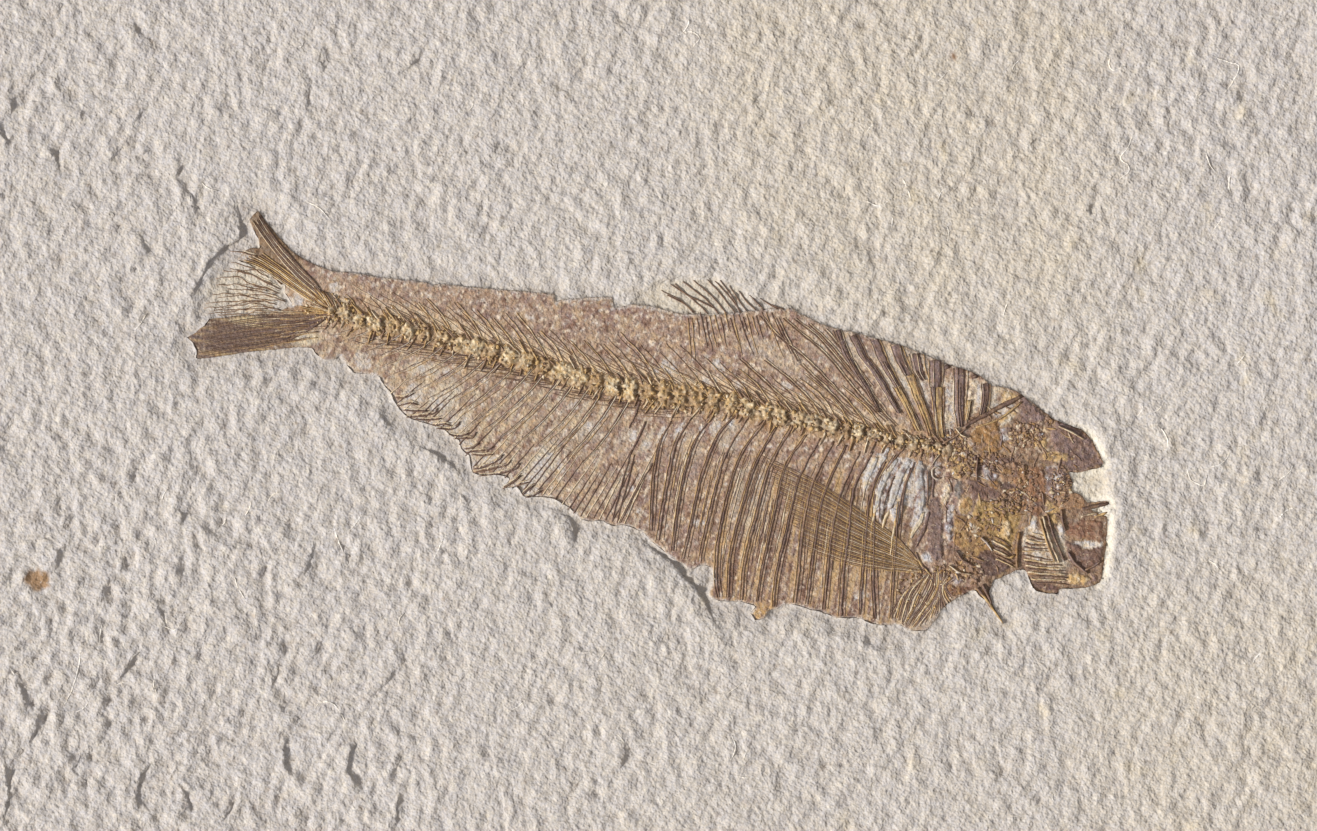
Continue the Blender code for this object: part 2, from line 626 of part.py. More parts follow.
def make_fish(home, cutters):
    """Every bone trimmed to the sheet's outline, and all joined to the sheet in one solid."""
    fish = joined("fossil_fish", make_bones(cutters), home)
    inset = widened(FISH_OUTLINE, -TRIM_MARGIN)
    trim = plate("trim", inset, SHEET_BOTTOM + TRIM_MARGIN, SLAB_THICKNESS + CUTTER_RISE, cutters)
    combine(fish, trim, "INTERSECT", overlapping=True)
    combine(fish, plate("sheet", FISH_OUTLINE, SHEET_BOTTOM, SHEET_TOP, cutters), "UNION")
    fish.data.materials.append(material("fossil_bone", FISH_COLOUR, 0.65))
    return fish


def main():
    for old in list(bpy.data.objects):
        bpy.data.objects.remove(old)
    parts = collection("fossil_fish_slab")
    cutters = collection("cutters")
    make_slab(parts, cutters)
    make_fish(parts, cutters)


main()
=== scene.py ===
"""Fossil fish slab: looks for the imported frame.

Plan positions are in millimetres in the row frame, the fish's head towards +X and its back towards +Y.
A height map gives the split face of the rock and another the fish's sheet. The bones are thin solids laid on the sheet.
In the noise calls the whole number after the place is a seed, and the one after it the count of octaves.
"""

import math

import bpy
import numpy as np
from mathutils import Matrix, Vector, noise as solid_noise
from mathutils.geometry import delaunay_2d_cdt
from mathutils.kdtree import KDTree


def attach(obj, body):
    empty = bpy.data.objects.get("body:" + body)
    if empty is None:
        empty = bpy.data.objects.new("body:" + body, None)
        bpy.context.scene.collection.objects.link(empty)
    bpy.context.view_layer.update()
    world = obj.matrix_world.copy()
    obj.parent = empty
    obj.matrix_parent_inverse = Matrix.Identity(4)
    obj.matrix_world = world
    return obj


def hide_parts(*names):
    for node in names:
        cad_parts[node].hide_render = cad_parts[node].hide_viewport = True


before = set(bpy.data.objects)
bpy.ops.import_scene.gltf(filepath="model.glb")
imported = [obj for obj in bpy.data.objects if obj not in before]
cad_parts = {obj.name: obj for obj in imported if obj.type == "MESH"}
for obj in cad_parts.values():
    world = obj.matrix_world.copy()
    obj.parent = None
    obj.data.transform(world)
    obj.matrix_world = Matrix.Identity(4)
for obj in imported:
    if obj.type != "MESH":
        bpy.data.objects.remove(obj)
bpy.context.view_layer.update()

MM = 0.001
RNG = np.random.default_rng(20260)

# ================================================================ sizes, in millimetres
HALF_LENGTH, HALF_WIDTH = 106.0, 70.0
TOP = 13.95  # mean height of the split face
SHEET = 13.38  # mean height of the fish's sheet
SHEET_BASE = 12.75
HOLLOW_FLOOR = 12.62  # bottom of the rock's hollow, under the sheet
LAYER_TOPS = (3.2, 6.8, 10.6)  # bedding planes that show round the broken edge
VIEW = (-99.5, -63.0, 99.2, 62.8)  # what the photo shows of the slab
ROCK_GRID, MARGIN_GRID = 0.575, 1.15  # spacing of the rock's points inside the view and beyond it
SHEET_GRID, HEAD_GRID = 0.245, 0.2
HEAD_START = 43.0  # where the sheet's finer grid begins
SMALL_SCARPS, STRAY_THREADS, SPLINTERS = 34, 46, 170  # how many are scattered
ROD_STEPS = (0.55, 0.4)  # spacing of points along narrow and wide bones
SUNK, BURIED = 0.07, 0.2  # how far a bone's sides and its underside go into what it lies on
WELL_INSIDE = 5.0  # stands for the distance to the sheet's edge, where it doesn't matter
LEAN = math.radians(62.0)  # the stone's pimples and cracks, and the skin's mottling, are drawn out at this angle


def srgb(red, green, blue):
    """A colour as a screen shows it, 0 to 255, as the linear values that shaders use."""
    c = np.array([red, green, blue], float) / 255.0
    return np.where(c <= 0.04045, c / 12.92, ((c + 0.055) / 1.055) ** 2.4)


# ================================================================ noise
def hashed(ix, iy, seed):
    """A repeatable number from 0 to 1 for each whole-numbered place, by a common integer hash."""
    n = (ix.astype(np.int64) * 374761393 + iy.astype(np.int64) * 668265263 + seed * 974634777) & 0xFFFFFFFF
    n = ((n ^ (n >> 13)) * 1274126177) & 0xFFFFFFFF
    n = ((n ^ (n >> 15)) * 2246822519) & 0xFFFFFFFF
    return ((n ^ (n >> 16)) & 0xFFFFFF) / float(0x1000000)


def waves(x, y, seed):
    """Gradient noise with features about one unit across, from about -1 to 1."""
    ix, iy = np.floor(x), np.floor(y)
    fx, fy = x - ix, y - iy
    ux = fx * fx * fx * (fx * (fx * 6 - 15) + 10)
    uy = fy * fy * fy * (fy * (fy * 6 - 15) + 10)

    def corner(dx, dy):
        turn = hashed(ix + dx, iy + dy, seed) * 2 * math.pi
        return np.cos(turn) * (fx - dx) + np.sin(turn) * (fy - dy)

    low = corner(0, 0) * (1 - ux) + corner(1, 0) * ux
    high = corner(0, 1) * (1 - ux) + corner(1, 1) * ux
    return (low * (1 - uy) + high * uy) * 1.6


def rough(x, y, seed, octaves, gain=0.5):
    """Noise with finer and finer noise added to it."""
    total, size, norm = 0.0, 1.0, 0.0
    for k in range(octaves):
        total = total + size * waves(x * 2.03**k + 7.1 * k, y * 2.03**k - 3.7 * k, seed + 17 * k)
        norm += size
        size *= gain
    return total / norm


def nearest_spot(x, y, seed):
    """Distance to the nearest of scattered points, one in each unit square."""
    ix, iy = np.floor(x), np.floor(y)
    nearest = np.full(np.shape(x), 9.0)
    for dx in (-1, 0, 1):
        for dy in (-1, 0, 1):
            px = ix + dx + hashed(ix + dx, iy + dy, seed)
            py = iy + dy + hashed(ix + dx, iy + dy, seed + 1)
            nearest = np.minimum(nearest, np.hypot(px - x, py - y))
    return nearest


def shaken(points, amount, size, seed, octaves=1):
    """Points moved about by noise with features of a given size."""
    x, y = points.T / size
    return points + amount * np.stack([rough(x, y, seed, octaves), rough(x, y, seed + 1, octaves)], 1)


def leaning(x, y):
    """Places across and along the grain of the stone."""
    return x * math.sin(LEAN) - y * math.cos(LEAN), x * math.cos(LEAN) + y * math.sin(LEAN)


def smooth(low, high, value):
    """An even step from 0 at low to 1 at high."""
    t = np.clip((value - low) / (high - low), 0.0, 1.0)
    return t * t * (3 - 2 * t)


def oval(x, y, cx, cy, rx, ry, turn=0.0):
    """How far out each point is in a turned ellipse: 0 in the middle, 1 on its edge."""
    c, s = math.cos(math.radians(turn)), math.sin(math.radians(turn))
    return np.hypot(((x - cx) * c + (y - cy) * s) / rx, (-(x - cx) * s + (y - cy) * c) / ry)


def blob(x, y, *ellipse):
    """1 inside a soft ellipse, 0 outside."""
    return 1.0 - smooth(0.55, 1.25, oval(x, y, *ellipse))


# ================================================================ lines
def polyline(points, step, closed=False):
    """Points every so often along straight runs."""
    pts = np.array(points, float)
    if closed:
        pts = np.vstack([pts, pts[:1]])
    place = np.concatenate([[0.0], np.cumsum(np.hypot(*(pts[1:] - pts[:-1]).T))])
    at = np.linspace(0.0, place[-1], max(2, int(round(place[-1] / step)) + 1))
    out = np.stack([np.interp(at, place, pts[:, 0]), np.interp(at, place, pts[:, 1])], 1)
    return out[:-1] if closed else out


def curve(points, step):
    """Points every so often along a smooth curve through the given ones."""
    p = np.array(points, float)
    if len(p) == 2:
        return polyline(p, step)
    q = np.vstack([2 * p[0] - p[1], p, 2 * p[-1] - p[-2]])
    dense = []
    for a, b, c, d in zip(q, q[1:], q[2:], q[3:]):
        for t in np.linspace(0.0, 1.0, 9)[:-1]:
            cubic = (3 * b - a - 3 * c + d) * t**3
            dense.append(0.5 * (2 * b + (c - a) * t + (2 * a - 5 * b + 4 * c - d) * t**2 + cubic))
    dense.append(p[-1])
    return polyline(dense, step)


def normals(path):
    """Unit vectors to the left of the way a line of points runs."""
    way = np.gradient(path, axis=0)
    return np.stack([-way[:, 1], way[:, 0]], 1) / np.maximum(np.hypot(*way.T), 1e-9)[:, None]


def ray(x, y, turn, length, stops=(0.0, 0.5, 1.0)):
    """Points along a straight line from a place, at an angle in radians."""
    return [(x + math.cos(turn) * length * t, y + math.sin(turn) * length * t) for t in stops]


def bowed(x, y, turn, length, bow):
    """Points along a shallow arc from a place, at an angle in radians."""
    c, s = math.cos(turn), math.sin(turn)
    arc = [(t, 4 * bow * t * (1 - t)) for t in (0.0, 0.33, 0.66, 1.0)]
    return [(x + c * length * t - s * off, y + s * length * t + c * off) for t, off in arc]


def distance_to(line, x, y, closed=False, reach=9.0):
    """Distance from each point to a polyline, and its sign: positive on the left of the way it runs."""
    a = np.array(line, float)
    b = np.roll(a, -1, axis=0) if closed else a[1:]
    order = np.argsort(y)
    xs, ys = x[order], y[order]
    best = np.full(len(x), float(reach))
    side = np.ones(len(x))
    for (ax, ay), (bx, by) in zip(a, b):
        ex, ey = bx - ax, by - ay
        length = ex * ex + ey * ey
        if length < 1e-12:
            continue
        first = np.searchsorted(ys, min(ay, by) - reach)
        last = np.searchsorted(ys, max(ay, by) + reach)
        close = first + np.where(np.abs(xs[first:last] - (ax + bx) / 2) < reach + abs(ex))[0]
        px, py = xs[close] - ax, ys[close] - ay
        t = np.clip((px * ex + py * ey) / length, 0.0, 1.0)
        d = np.hypot(px - t * ex, py - t * ey)
        better = d < best[close]
        hit = close[better]
        best[hit] = d[better]
        side[hit] = np.where(ex * py[better] - ey * px[better] >= 0, 1.0, -1.0)
    undo = np.argsort(order)
    return best[undo], side[undo]


def away_from(loop, x, y, reach=1.0):
    """Distance from each point to a closed polyline, up to a reach."""
    return distance_to(loop, x, y, closed=True, reach=reach)[0]


def inside(loop, x, y):
    """Whether each point lies inside a closed polyline."""
    a = np.array(loop, float)
    b = np.roll(a, -1, axis=0)
    order = np.argsort(y)
    xs, ys = x[order], y[order]
    odd = np.zeros(len(x), bool)
    for (ax, ay), (bx, by) in zip(a, b):
        if ay == by:
            continue
        first, last = np.searchsorted(ys, min(ay, by)), np.searchsorted(ys, max(ay, by))
        odd[first:last] ^= xs[first:last] < ax + (ys[first:last] - ay) * (bx - ax) / (by - ay)
    return odd[np.argsort(order)]


def holds(loop, x, y):
    """Whether one point lies inside a closed polyline."""
    return inside(loop, np.array([x]), np.array([y]))[0]


def clockwise(loop):
    """Whether a closed polyline runs clockwise."""
    x, y = np.array(loop).T
    return float(np.sum(x * np.roll(y, -1) - y * np.roll(x, -1))) < 0.0


# ================================================================ where things are
BROWN_EDGE = [
    # the brown sheet's outline, from the upper tail lobe along the back
    (-60.3, 30.7), (-60, 30.2), (-58, 27.6), (-56.5, 25.9), (-54.5, 24), (-53, 23.1), (-51, 22.3),
    (-49, 21.6), (-46, 21.4), (-42, 20.7), (-39, 20.4), (-36.5, 20.1), (-34.9, 19.9), (-34.3, 19.4),
    (-33.6, 19.7), (-28, 19.2), (-22, 18.7), (-15.9, 18.2), (-15.6, 17.1), (-14, 17.4), (-12.2, 17.6),
    (-9.5, 17.7), (-7.2, 17.7), (-6.9, 16.1), (-5.5, 16.3), (-3.9, 16.7), (-1.5, 16.4), (0.5, 15.9), (2.5, 15.3),
    (4.5, 15.2), (8, 15), (10, 15.2), (12, 15.4), (14, 15.7), (16.4, 16), (18.2, 15.9), (19.9, 16.1),
    (20.6, 15.4), (22, 14.8), (24, 13.7), (26, 13.1), (28, 12.7), (30, 12.2), (32, 11.6), (34, 11.1),
    (37, 10.2), (39, 9.3), (41, 8.6), (42, 8.1), (43.5, 7.6), (45.8, 6.8), (47, 6.4), (48.5, 5.6),
    (49.5, 4.5), (52, 4.1), (53.7, 3.5), (54.5, 2.9), (56.6, 1.3), (58, 0.3), (59.3, -0.7), (61.5, -1.6),
    (63, -2), (64.3, -3), (65, -4.1), (65.8, -5.6), (66.7, -7.2),
    # under the snout and round the mouth
    (66, -7.9), (64.5, -8.3), (62, -8.7), (61.3, -8.6), (61.9, -10), (61.7, -11.5), (63.4, -12),
    (64, -13.2), (67.3, -12.9), (67.4, -13.5), (64.6, -14.2), (66, -14.9), (67.2, -15.2), (67.1, -18),
    (66.8, -21), (66.3, -24.6), (66, -25.2), (64, -25.9), (61.5, -26.1), (59.9, -26.1), (59.8, -26.9),
    (58, -26.8), (56.3, -26.4), (55.9, -25.9), (55.2, -24), (54.8, -23.2), (53.5, -23.3), (52, -24),
    (50, -24.9),
    # the small spur under the throat, then the belly
    (49.4, -26.6), (49.9, -28.5), (51.5, -31.3), (50, -29.2), (49.2, -27.9), (48, -27.3), (47.3, -26.2),
    (46.5, -26.4), (45, -27.3), (43.3, -28.2), (42.3, -29.2), (41.5, -30.7), (40, -32.3), (38.3, -32.5),
    (37, -32.2), (35.8, -31.4), (33.5, -31.6), (31.5, -31.2), (30, -30.5), (28.2, -30.5), (26.3, -30.4),
    (24.4, -29.7), (22, -29), (19.5, -28.3), (18.6, -28.4), (17.8, -29), (16.4, -29.3), (15.6, -30.6),
    (14.2, -30.8), (13.6, -29.8), (14.3, -28.8), (13.6, -28.5), (12, -28), (8.8, -27.9), (8, -27.5),
    (7.3, -27.1), (7.8, -25.5), (8.6, -24.1), (7.6, -22.8), (6.3, -22.5), (4.4, -23.2), (3.6, -22.4), (2, -21.6),
    (0, -20), (-1.2, -19), (-2.5, -17.6), (-4.5, -16.8), (-5.9, -16.5), (-7.2, -16.7), (-8, -16.3),
    (-8.5, -15.9), (-11, -15.9), (-12, -15.6), (-13.5, -14), (-15.8, -12.6), (-16.8, -12.4), (-18.5, -12.3),
    (-20.5, -12.2), (-21.5, -10.8), (-23.6, -11), (-22.5, -9.6), (-24, -9), (-26.5, -9.1), (-28.2, -8.7),
    (-28.4, -7.6), (-28.7, -6), (-29.8, -5.2), (-30.2, -3.8), (-31.5, -3), (-32.5, -2), (-34, -1.6),
    (-36, -1.1), (-38, -0.3), (-39.3, 1.1), (-40, 2.2), (-40.5, 3.5), (-41.4, 4.4), (-41.9, 5.3),
    (-42, 5.8), (-44, 6.2), (-46, 6.3), (-47, 7.5), (-48, 9), (-49, 8.3), (-50.5, 8.4),
    (-51.5, 9), (-52.3, 10.1),
    # the lower tail lobe, the notch and the small golden lobe
    (-54, 10.2), (-58, 9.8), (-62, 9.5), (-64, 9.1), (-67, 8.6), (-69.6, 8.4), (-69.6, 9.8),
    (-70.1, 10.8), (-71, 11.6), (-70.3, 12), (-68.3, 13.5), (-67.7, 14.4), (-63.9, 14.9), (-58, 15.2),
    (-55.1, 16.6), (-56.3, 18.3), (-56.3, 19.5), (-57, 19.6), (-57.8, 20.8), (-58.6, 21.8), (-60, 22),
    (-62.7, 22.9), (-63.5, 23.3), (-62.3, 24.6), (-61.5, 25.1), (-60.1, 25), (-60.2, 26.2), (-61.4, 28.6),
    (-61.7, 29.4),
]
BACKBONE = [
    (-50, 15.6), (-47, 15.2), (-44.6, 13.9), (-40, 13.2), (-36, 12.3), (-32, 11.2), (-28, 10.2),
    (-24, 9.2), (-20, 8), (-16, 6.8), (-12, 5.6), (-8, 4.6), (-4, 3.8), (0, 3.2), (4, 2.6),
    (8, 2.1), (12, 1.3), (16, 0.3), (20, -0.5), (24, -1.4), (28, -2.2), (32, -3), (36, -4),
    (40, -4.6), (44, -5.5),
]
SPINE_X, SPINE_Y = zip(*BACKBONE)
EDGE = shaken(polyline(BROWN_EDGE, 0.4, closed=True), 0.13, 0.9, 5, 2)
FISH_ROOM = [(-76, 34), (-40, 27), (20, 26), (62, 10), (74, -6), (72, -34), (20, -38), (-20, -26), (-60, -2), (-78, 4)]
# flakes of the split face end along these lines; for a positive height the rock on the left of a line stands higher
SCARPS = [
    # (line, height, how far the flake reaches back from its edge)
    ([(-63.4, 31.5), (-63, 28.5), (-63.2, 26.4), (-65, 25.4), (-66.2, 24.3), (-67.5, 23.3), (-68.4, 21.4),
      (-69.3, 19.6), (-69.9, 18.2)], -0.55, 3.2),
    ([(10, 17.4), (8.5, 18.9), (7.2, 20), (5.6, 20.7), (3.8, 20.9), (2, 20.6), (0, 19.9), (-1.6, 18.9),
      (-3, 17.9)], -0.45, 2.6),
    ([(-2.6, -18.9), (0, -20.9), (2, -22.4), (3.5, -24.2), (5.3, -25.9), (6.8, -28.1), (7.6, -30),
      (8.5, -31.7)], -0.55, 3.5),
    ([(-14.2, -14.5), (-13, -16.5), (-12.7, -19.5)], -0.3, 2.5),
    ([(-36.8, -4.5), (-34, -5.6), (-32, -7), (-29.8, -9)], -0.3, 2.5),
    ([(-41.8, -0.2), (-40.3, -1.8)], -0.25, 2),
    ([(-30.2, -11.5), (-28.8, -13.2)], -0.25, 2),
    ([(-89.7, -19.8), (-90.3, -21.2), (-90.4, -22.7)], -0.3, 2),
    ([(-75.3, -28.7), (-74.5, -30.4), (-74.1, -32)], -0.25, 2),
    ([(-81.8, -40), (-80.1, -38.3), (-79, -35.8)], 0.4, 3),
    ([(-96, -40.3), (-95.6, -41.8), (-95, -42.9)], -0.35, 2),
    ([(-93.2, -45.7), (-93.7, -47.8), (-95, -49.3)], -0.4, 2.5),
    ([(-86, -50.2), (-87, -51.2), (-87.6, -52.6), (-89, -53.4), (-90.4, -53.7)], -0.35, 2.5),
    ([(-98.5, -51), (-97.9, -54), (-97.7, -57.5), (-98.8, -61.8)], -0.4, 3),
    ([(-74.7, -51.5), (-76.6, -52.4), (-77.9, -54.3), (-78.4, -57), (-78.3, -59.7)], -0.4, 3),
    ([(-73.2, -54.8), (-71.7, -56), (-70.8, -57.5), (-70.1, -60.1)], -0.25, 2),
    ([(-55.5, -48), (-56.3, -49.3), (-56.4, -50.6), (-56.2, -52.2), (-55.7, -53.2), (-54.7, -53.9)], -0.4, 2.5),
    ([(-57, -36.9), (-57.5, -39), (-58.5, -41)], -0.3, 2.5),
    ([(-52, -19.8), (-52.5, -22), (-53.6, -24.2)], -0.3, 2),
    ([(-39.6, -37.7), (-40.8, -39.9), (-42.6, -41.6)], -0.35, 2.5),
    ([(-45, -48.5), (-46.4, -50.8), (-46.7, -53.7), (-44.6, -55.8)], -0.4, 2.5),
    ([(-39, -56.7), (-39.5, -59), (-39.5, -61.8)], -0.35, 2.5),
    ([(-77.3, 56.7), (-78.4, 57.6), (-79, 59)], 0.25, 2),
    ([(-79.4, 42.5), (-78.4, 44.6), (-76.8, 46.3)], 0.3, 2.5),
    ([(-69.7, 31), (-70.1, 32.6), (-71.2, 33.9)], 0.3, 2),
    ([(-76.8, 24.2), (-77.5, 25.9)], 0.25, 2),
    ([(-90.2, 36.4), (-90.6, 38.6), (-91.7, 40.3)], 0.3, 2.5),
    ([(-97.3, 45), (-97, 47.8)], 0.3, 2),
    ([(-97.3, 40.5), (-98.5, 42), (-99, 43.7)], 0.3, 2),
    ([(-40, 51), (-37.4, 52.4), (-35.3, 54.5)], 0.25, 2.5),
]
# where the worked rock keeps its height beside the tail's and the back fin's scarps: middle, half sizes, turn
UNWORKED = [(-73.6, 20.6, 4.6, 8.6, -8), (-3.6, 21.9, 5.6, 2.4, 24)]
# shallow hollows of bare rock round the tail's middle, the back fin and the mouth: middle, half sizes, turn, depth
HOLLOWS = [
    (-62.3, 18.6, 6.2, 3.9, 10, -0.06),
    (-58.6, 23.6, 2.6, 3, 30, 0.12),
    (5, 17.6, 8.6, 3.2, 0, 0.12),
    (64.6, -10.6, 3.2, 2.6, 0, -0.1),
]


def spine_at(x):
    """The backbone's place across the slab."""
    return np.interp(x, SPINE_X, SPINE_Y)


def before_head(x, y, full=65.0):
    """1 on the high wall of rock in front of the head, 0 elsewhere. full is where it has its whole strength."""
    return smooth(59.0, full, x) * smooth(2.5, -4.0, y) * smooth(-27.5, -23.0, y)


def small_scarps():
    """Short edges of thin flakes scattered over the split face, most of them at the left."""
    rng = np.random.default_rng(77)
    found = []
    while len(found) < SMALL_SCARPS:
        x, y = rng.uniform(-97, 97), rng.uniform(-60, 60)
        if rng.random() > 0.3 + 0.7 * (x < -30) or holds(FISH_ROOM, x, y):
            continue
        turn = LEAN + math.radians(rng.uniform(-38, 38))
        line = bowed(x, y, turn, rng.uniform(1.2, 3.4), rng.uniform(-0.3, 0.3))
        found.append((line, rng.choice((-1, 1)) * rng.uniform(0.18, 0.34), rng.uniform(1.2, 2.0)))
    return found


def rock_height(x, y, edge_distance, scarps):
    """Height of the split face. It is pimpled all over, with shallow flakes, and scraped lower round the fish."""
    plan = np.column_stack([x, y])
    u, v = leaning(*shaken(plan, 0.8, 6.0, 31).T)
    swell = 0.16 * waves(x / 38, y / 38, 1) + 0.12 * waves(x / 15, y / 15, 2)
    dents = 0.2 * rough(u / 4, v / 5.6, 3, 2)
    pimples = 0.32 * waves(u / 1.6, v / 2.6, 4) + 0.2 * waves(u / 0.95, v / 1.4, 7)
    ridged = np.abs(waves(u / 2.6, v / 5, 8))
    creases = -0.34 * (1.0 - smooth(0.0, 0.26, ridged)) * smooth(-0.3, 0.5, waves(x / 7, y / 7, 9))
    grain = 0.09 * waves(u / 0.62, v / 0.75, 10)
    coarse = 0.8 + 0.35 * smooth(-20, -75, x) * smooth(20, -30, y) + 0.18 * waves(x / 19, y / 19, 11)
    height = TOP + swell + (dents + pimples + creases + grain) * coarse
    # the rock falls to the level of the fish's sheet, but its wall in front of the head slopes and catches the light
    head_wall = before_head(x, y)
    worked = (1.0 - smooth(0.3, 4.2, edge_distance + waves(x / 3, y / 3, 12))) * (1.0 - head_wall)
    for ellipse in UNWORKED:
        worked = worked * (1.0 - blob(x, y, *ellipse))
    height = height - worked * (TOP - SHEET - 0.14 + 0.3 * (height - TOP))
    height = height + 0.35 * head_wall * (1.0 - smooth(1.6, 6.0, edge_distance))
    height = height - 0.95 * head_wall * (1.0 - smooth(0.1, 0.95, edge_distance))
    for line, distance, side, size, reach in scarps:
        raised = side * np.sign(size) > 0
        ends = np.minimum(*(np.hypot(x - px, y - py) for px, py in (line[0], line[-1])))
        length = np.hypot(*(line[-1] - line[0]))
        fade = np.exp(-((distance / reach) ** 2)) * smooth(0.0, 0.45 * length, ends + 0.08 * length)
        height = height + np.where(raised, 0.5, -0.45) * abs(size) * fade
    ragged = shaken(plan, 0.9, 2.4, 33, 2).T
    for *ellipse, depth in HOLLOWS:
        share = blob(*ragged, *ellipse)
        height = height * (1 - share) + share * (SHEET + depth + (pimples + creases + grain) * 0.45)
    return height


def sheet_height(x, y, edge_distance):
    """Height of the fish's sheet, which is thin, uneven and slightly domed along the backbone."""
    dome = 0.16 * np.exp(-(((y - spine_at(x)) / 4.5) ** 2)) * smooth(47, 42, x) * smooth(-52, -45, x)
    swell = 0.07 * waves(x / 9, y / 6, 41) + 0.04 * waves(x / 2.6, y / 2.2, 42)
    scales = 0.035 * waves(x / 0.95, y / 0.75, 43) + 0.022 * waves(x / 0.5, y / 0.45, 44)
    head = smooth(43, 47, x) * (0.12 * waves(x / 2.4, y / 2.1, 45) + 0.08 * rough(x / 0.8, y / 0.7, 46, 2))
    lip = -0.05 * (1.0 - smooth(0.0, 0.5, edge_distance))
    fall = -0.12 * smooth(60, 66, x)
    return SHEET + dome + swell + scales + head + lip + fall + crushed_plates(x, y)[0]


# ================================================================ meshes
def triangulated(points, loops=(), lines=()):
    """Triangles over scattered points in plan, keeping closed loops and open lines as edges."""
    parts, edges, start = [np.array(points, float)], [], len(points)
    for run, closed in [(loop, True) for loop in loops] + [(line, False) for line in lines]:
        count = len(run)
        parts.append(np.array(run, float))
        edges += [(start + k, start + (k + 1) % count) for k in range(count if closed else count - 1)]
        start += count
    plan = np.vstack(parts)
    found = delaunay_2d_cdt([Vector(p) for p in plan.tolist()], edges, [], 0, 1e-5, False)
    return np.array([tuple(v) for v in found[0]]), np.array([f for f in found[2] if len(f) == 3])


def scattered(box, spacing, seed):
    """Points on a shaken triangular grid over a box."""
    rng = np.random.default_rng(seed)
    gx, gy = np.meshgrid(np.arange(box[0], box[2], spacing), np.arange(box[1], box[3], spacing * 0.866))
    gx[1::2] += spacing / 2
    shake = spacing * 0.22
    return np.stack([gx.ravel(), gy.ravel()], 1) + rng.uniform(-shake, shake, (gx.size, 2))


def index_of(verts, wanted):
    """Which vertex is at each wanted place."""
    tree = KDTree(len(verts))
    for number, (x, y) in enumerate(verts):
        tree.insert((x, y, 0.0), number)
    tree.balance()
    return [tree.find((x, y, 0.0))[1] for x, y in wanted]


def add_wall(faces, upper, lower, flip):
    """Adds the faces between two closed rings of vertices."""
    for a, b, c, d in zip(upper, upper[1:] + upper[:1], lower[1:] + lower[:1], lower):
        faces.append((a, b, c, d) if flip else (a, d, c, b))


def plate(points, loop, clearance, top, under, colour):
    """A thin solid over a loop in plan: its vertices, faces and colours.

    top and colour are worked out from x, y and the distance to the loop, and under from the rim's heights.
    """
    points = points[inside(loop, *points.T)]
    plan, faces = triangulated(points[away_from(loop, *points.T) > clearance], [loop])
    faces = faces[inside(loop, *plan[faces].mean(axis=1).T)].tolist()
    away = away_from(loop, *plan.T, reach=4.0)
    z = top(*plan.T, away)
    rim = index_of(plan, loop)
    lower = list(range(len(plan), len(plan) + len(loop)))
    flip = clockwise(loop)
    add_wall(faces, rim, lower, flip)
    faces.append(tuple(lower) if flip else tuple(reversed(lower)))
    tones = colour(*plan.T, away)
    verts = np.vstack([np.column_stack([plan, z]), np.column_stack([loop, under(z[rim])])])
    return verts, faces, np.vstack([tones, tones[rim]])


def placed(name, data):
    """A new object in the scene."""
    thing = bpy.data.objects.new(name, data)
    bpy.context.scene.collection.objects.link(thing)
    return thing


def new_piece(name, verts, faces, colours, material):
    """A mesh piece on the fish slab's one body, from points in millimetres and a colour for each point."""
    mesh = bpy.data.meshes.new(name)
    mesh.from_pydata((np.asarray(verts) * MM).tolist(), [], faces)
    tone = mesh.attributes.new("tone", "FLOAT_COLOR", "POINT")
    rgba = np.ones((len(verts), 4))
    rgba[:, :3] = np.clip(colours, 0.0, 1.0)
    tone.data.foreach_set("color", rgba.ravel())
    mesh.polygons.foreach_set("use_smooth", [True] * len(mesh.polygons))
    mesh.materials.append(material)
    mesh.validate()
    piece = placed(name, mesh)
    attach(piece, "root")
    return piece


def mixed(a, b, share):
    """Colours a turned into colour b by a share for each point."""
    share = np.clip(np.asarray(share), 0.0, 1.0)[:, None]
    return a * (1 - share) + np.asarray(b) * share


class Coats:
    """The colours of many points, painted over coat by coat. Each call adds a coat by a share for each point."""

    def __init__(self, count, *first):
        self.tones = np.tile(srgb(*first), (count, 1))

    def __call__(self, red, green, blue, share):
        self.tones = mixed(self.tones, srgb(red, green, blue), share)


# ================================================================ the rock
def broken_edge(x, y, height):
    """How far the broken side stands in at this place, layer by layer, with fine steps between thin laminae."""
    layer = 5.3 * sum(height > top for top in LAYER_TOPS)

    def chips(scale, level):
        return solid_noise.noise(Vector((x * scale, y * scale, level)))

    wander, coarse, flakes = chips(0.028, 3.7), chips(0.11, 9.1 + layer), chips(0.31, 21.0 + layer)
    steps, crumbs = chips(0.5, 40.0 + height * 1.7), chips(1.3, 60.0 + height * 1.1)
    return 2.2 * (0.55 + wander) + 1.1 * (0.6 + coarse + 0.35 * flakes) + 0.4 * steps + 0.22 * crumbs


SIDE_STEP = 0.95  # spacing of the points round the sides
CORNER = 5.0  # radius of the slab's corners
# heights of the rings of points round the sides, close together where a bedding plane shows
SIDE_LEVELS = (0, 0.9, 1.7, 2.6, 3.05, 3.35, 4.3, 5.2, 6, 6.65, 6.95, 7.9, 8.8, 9.7, 10.45, 10.75, 11.6, 12.4, 13.2)


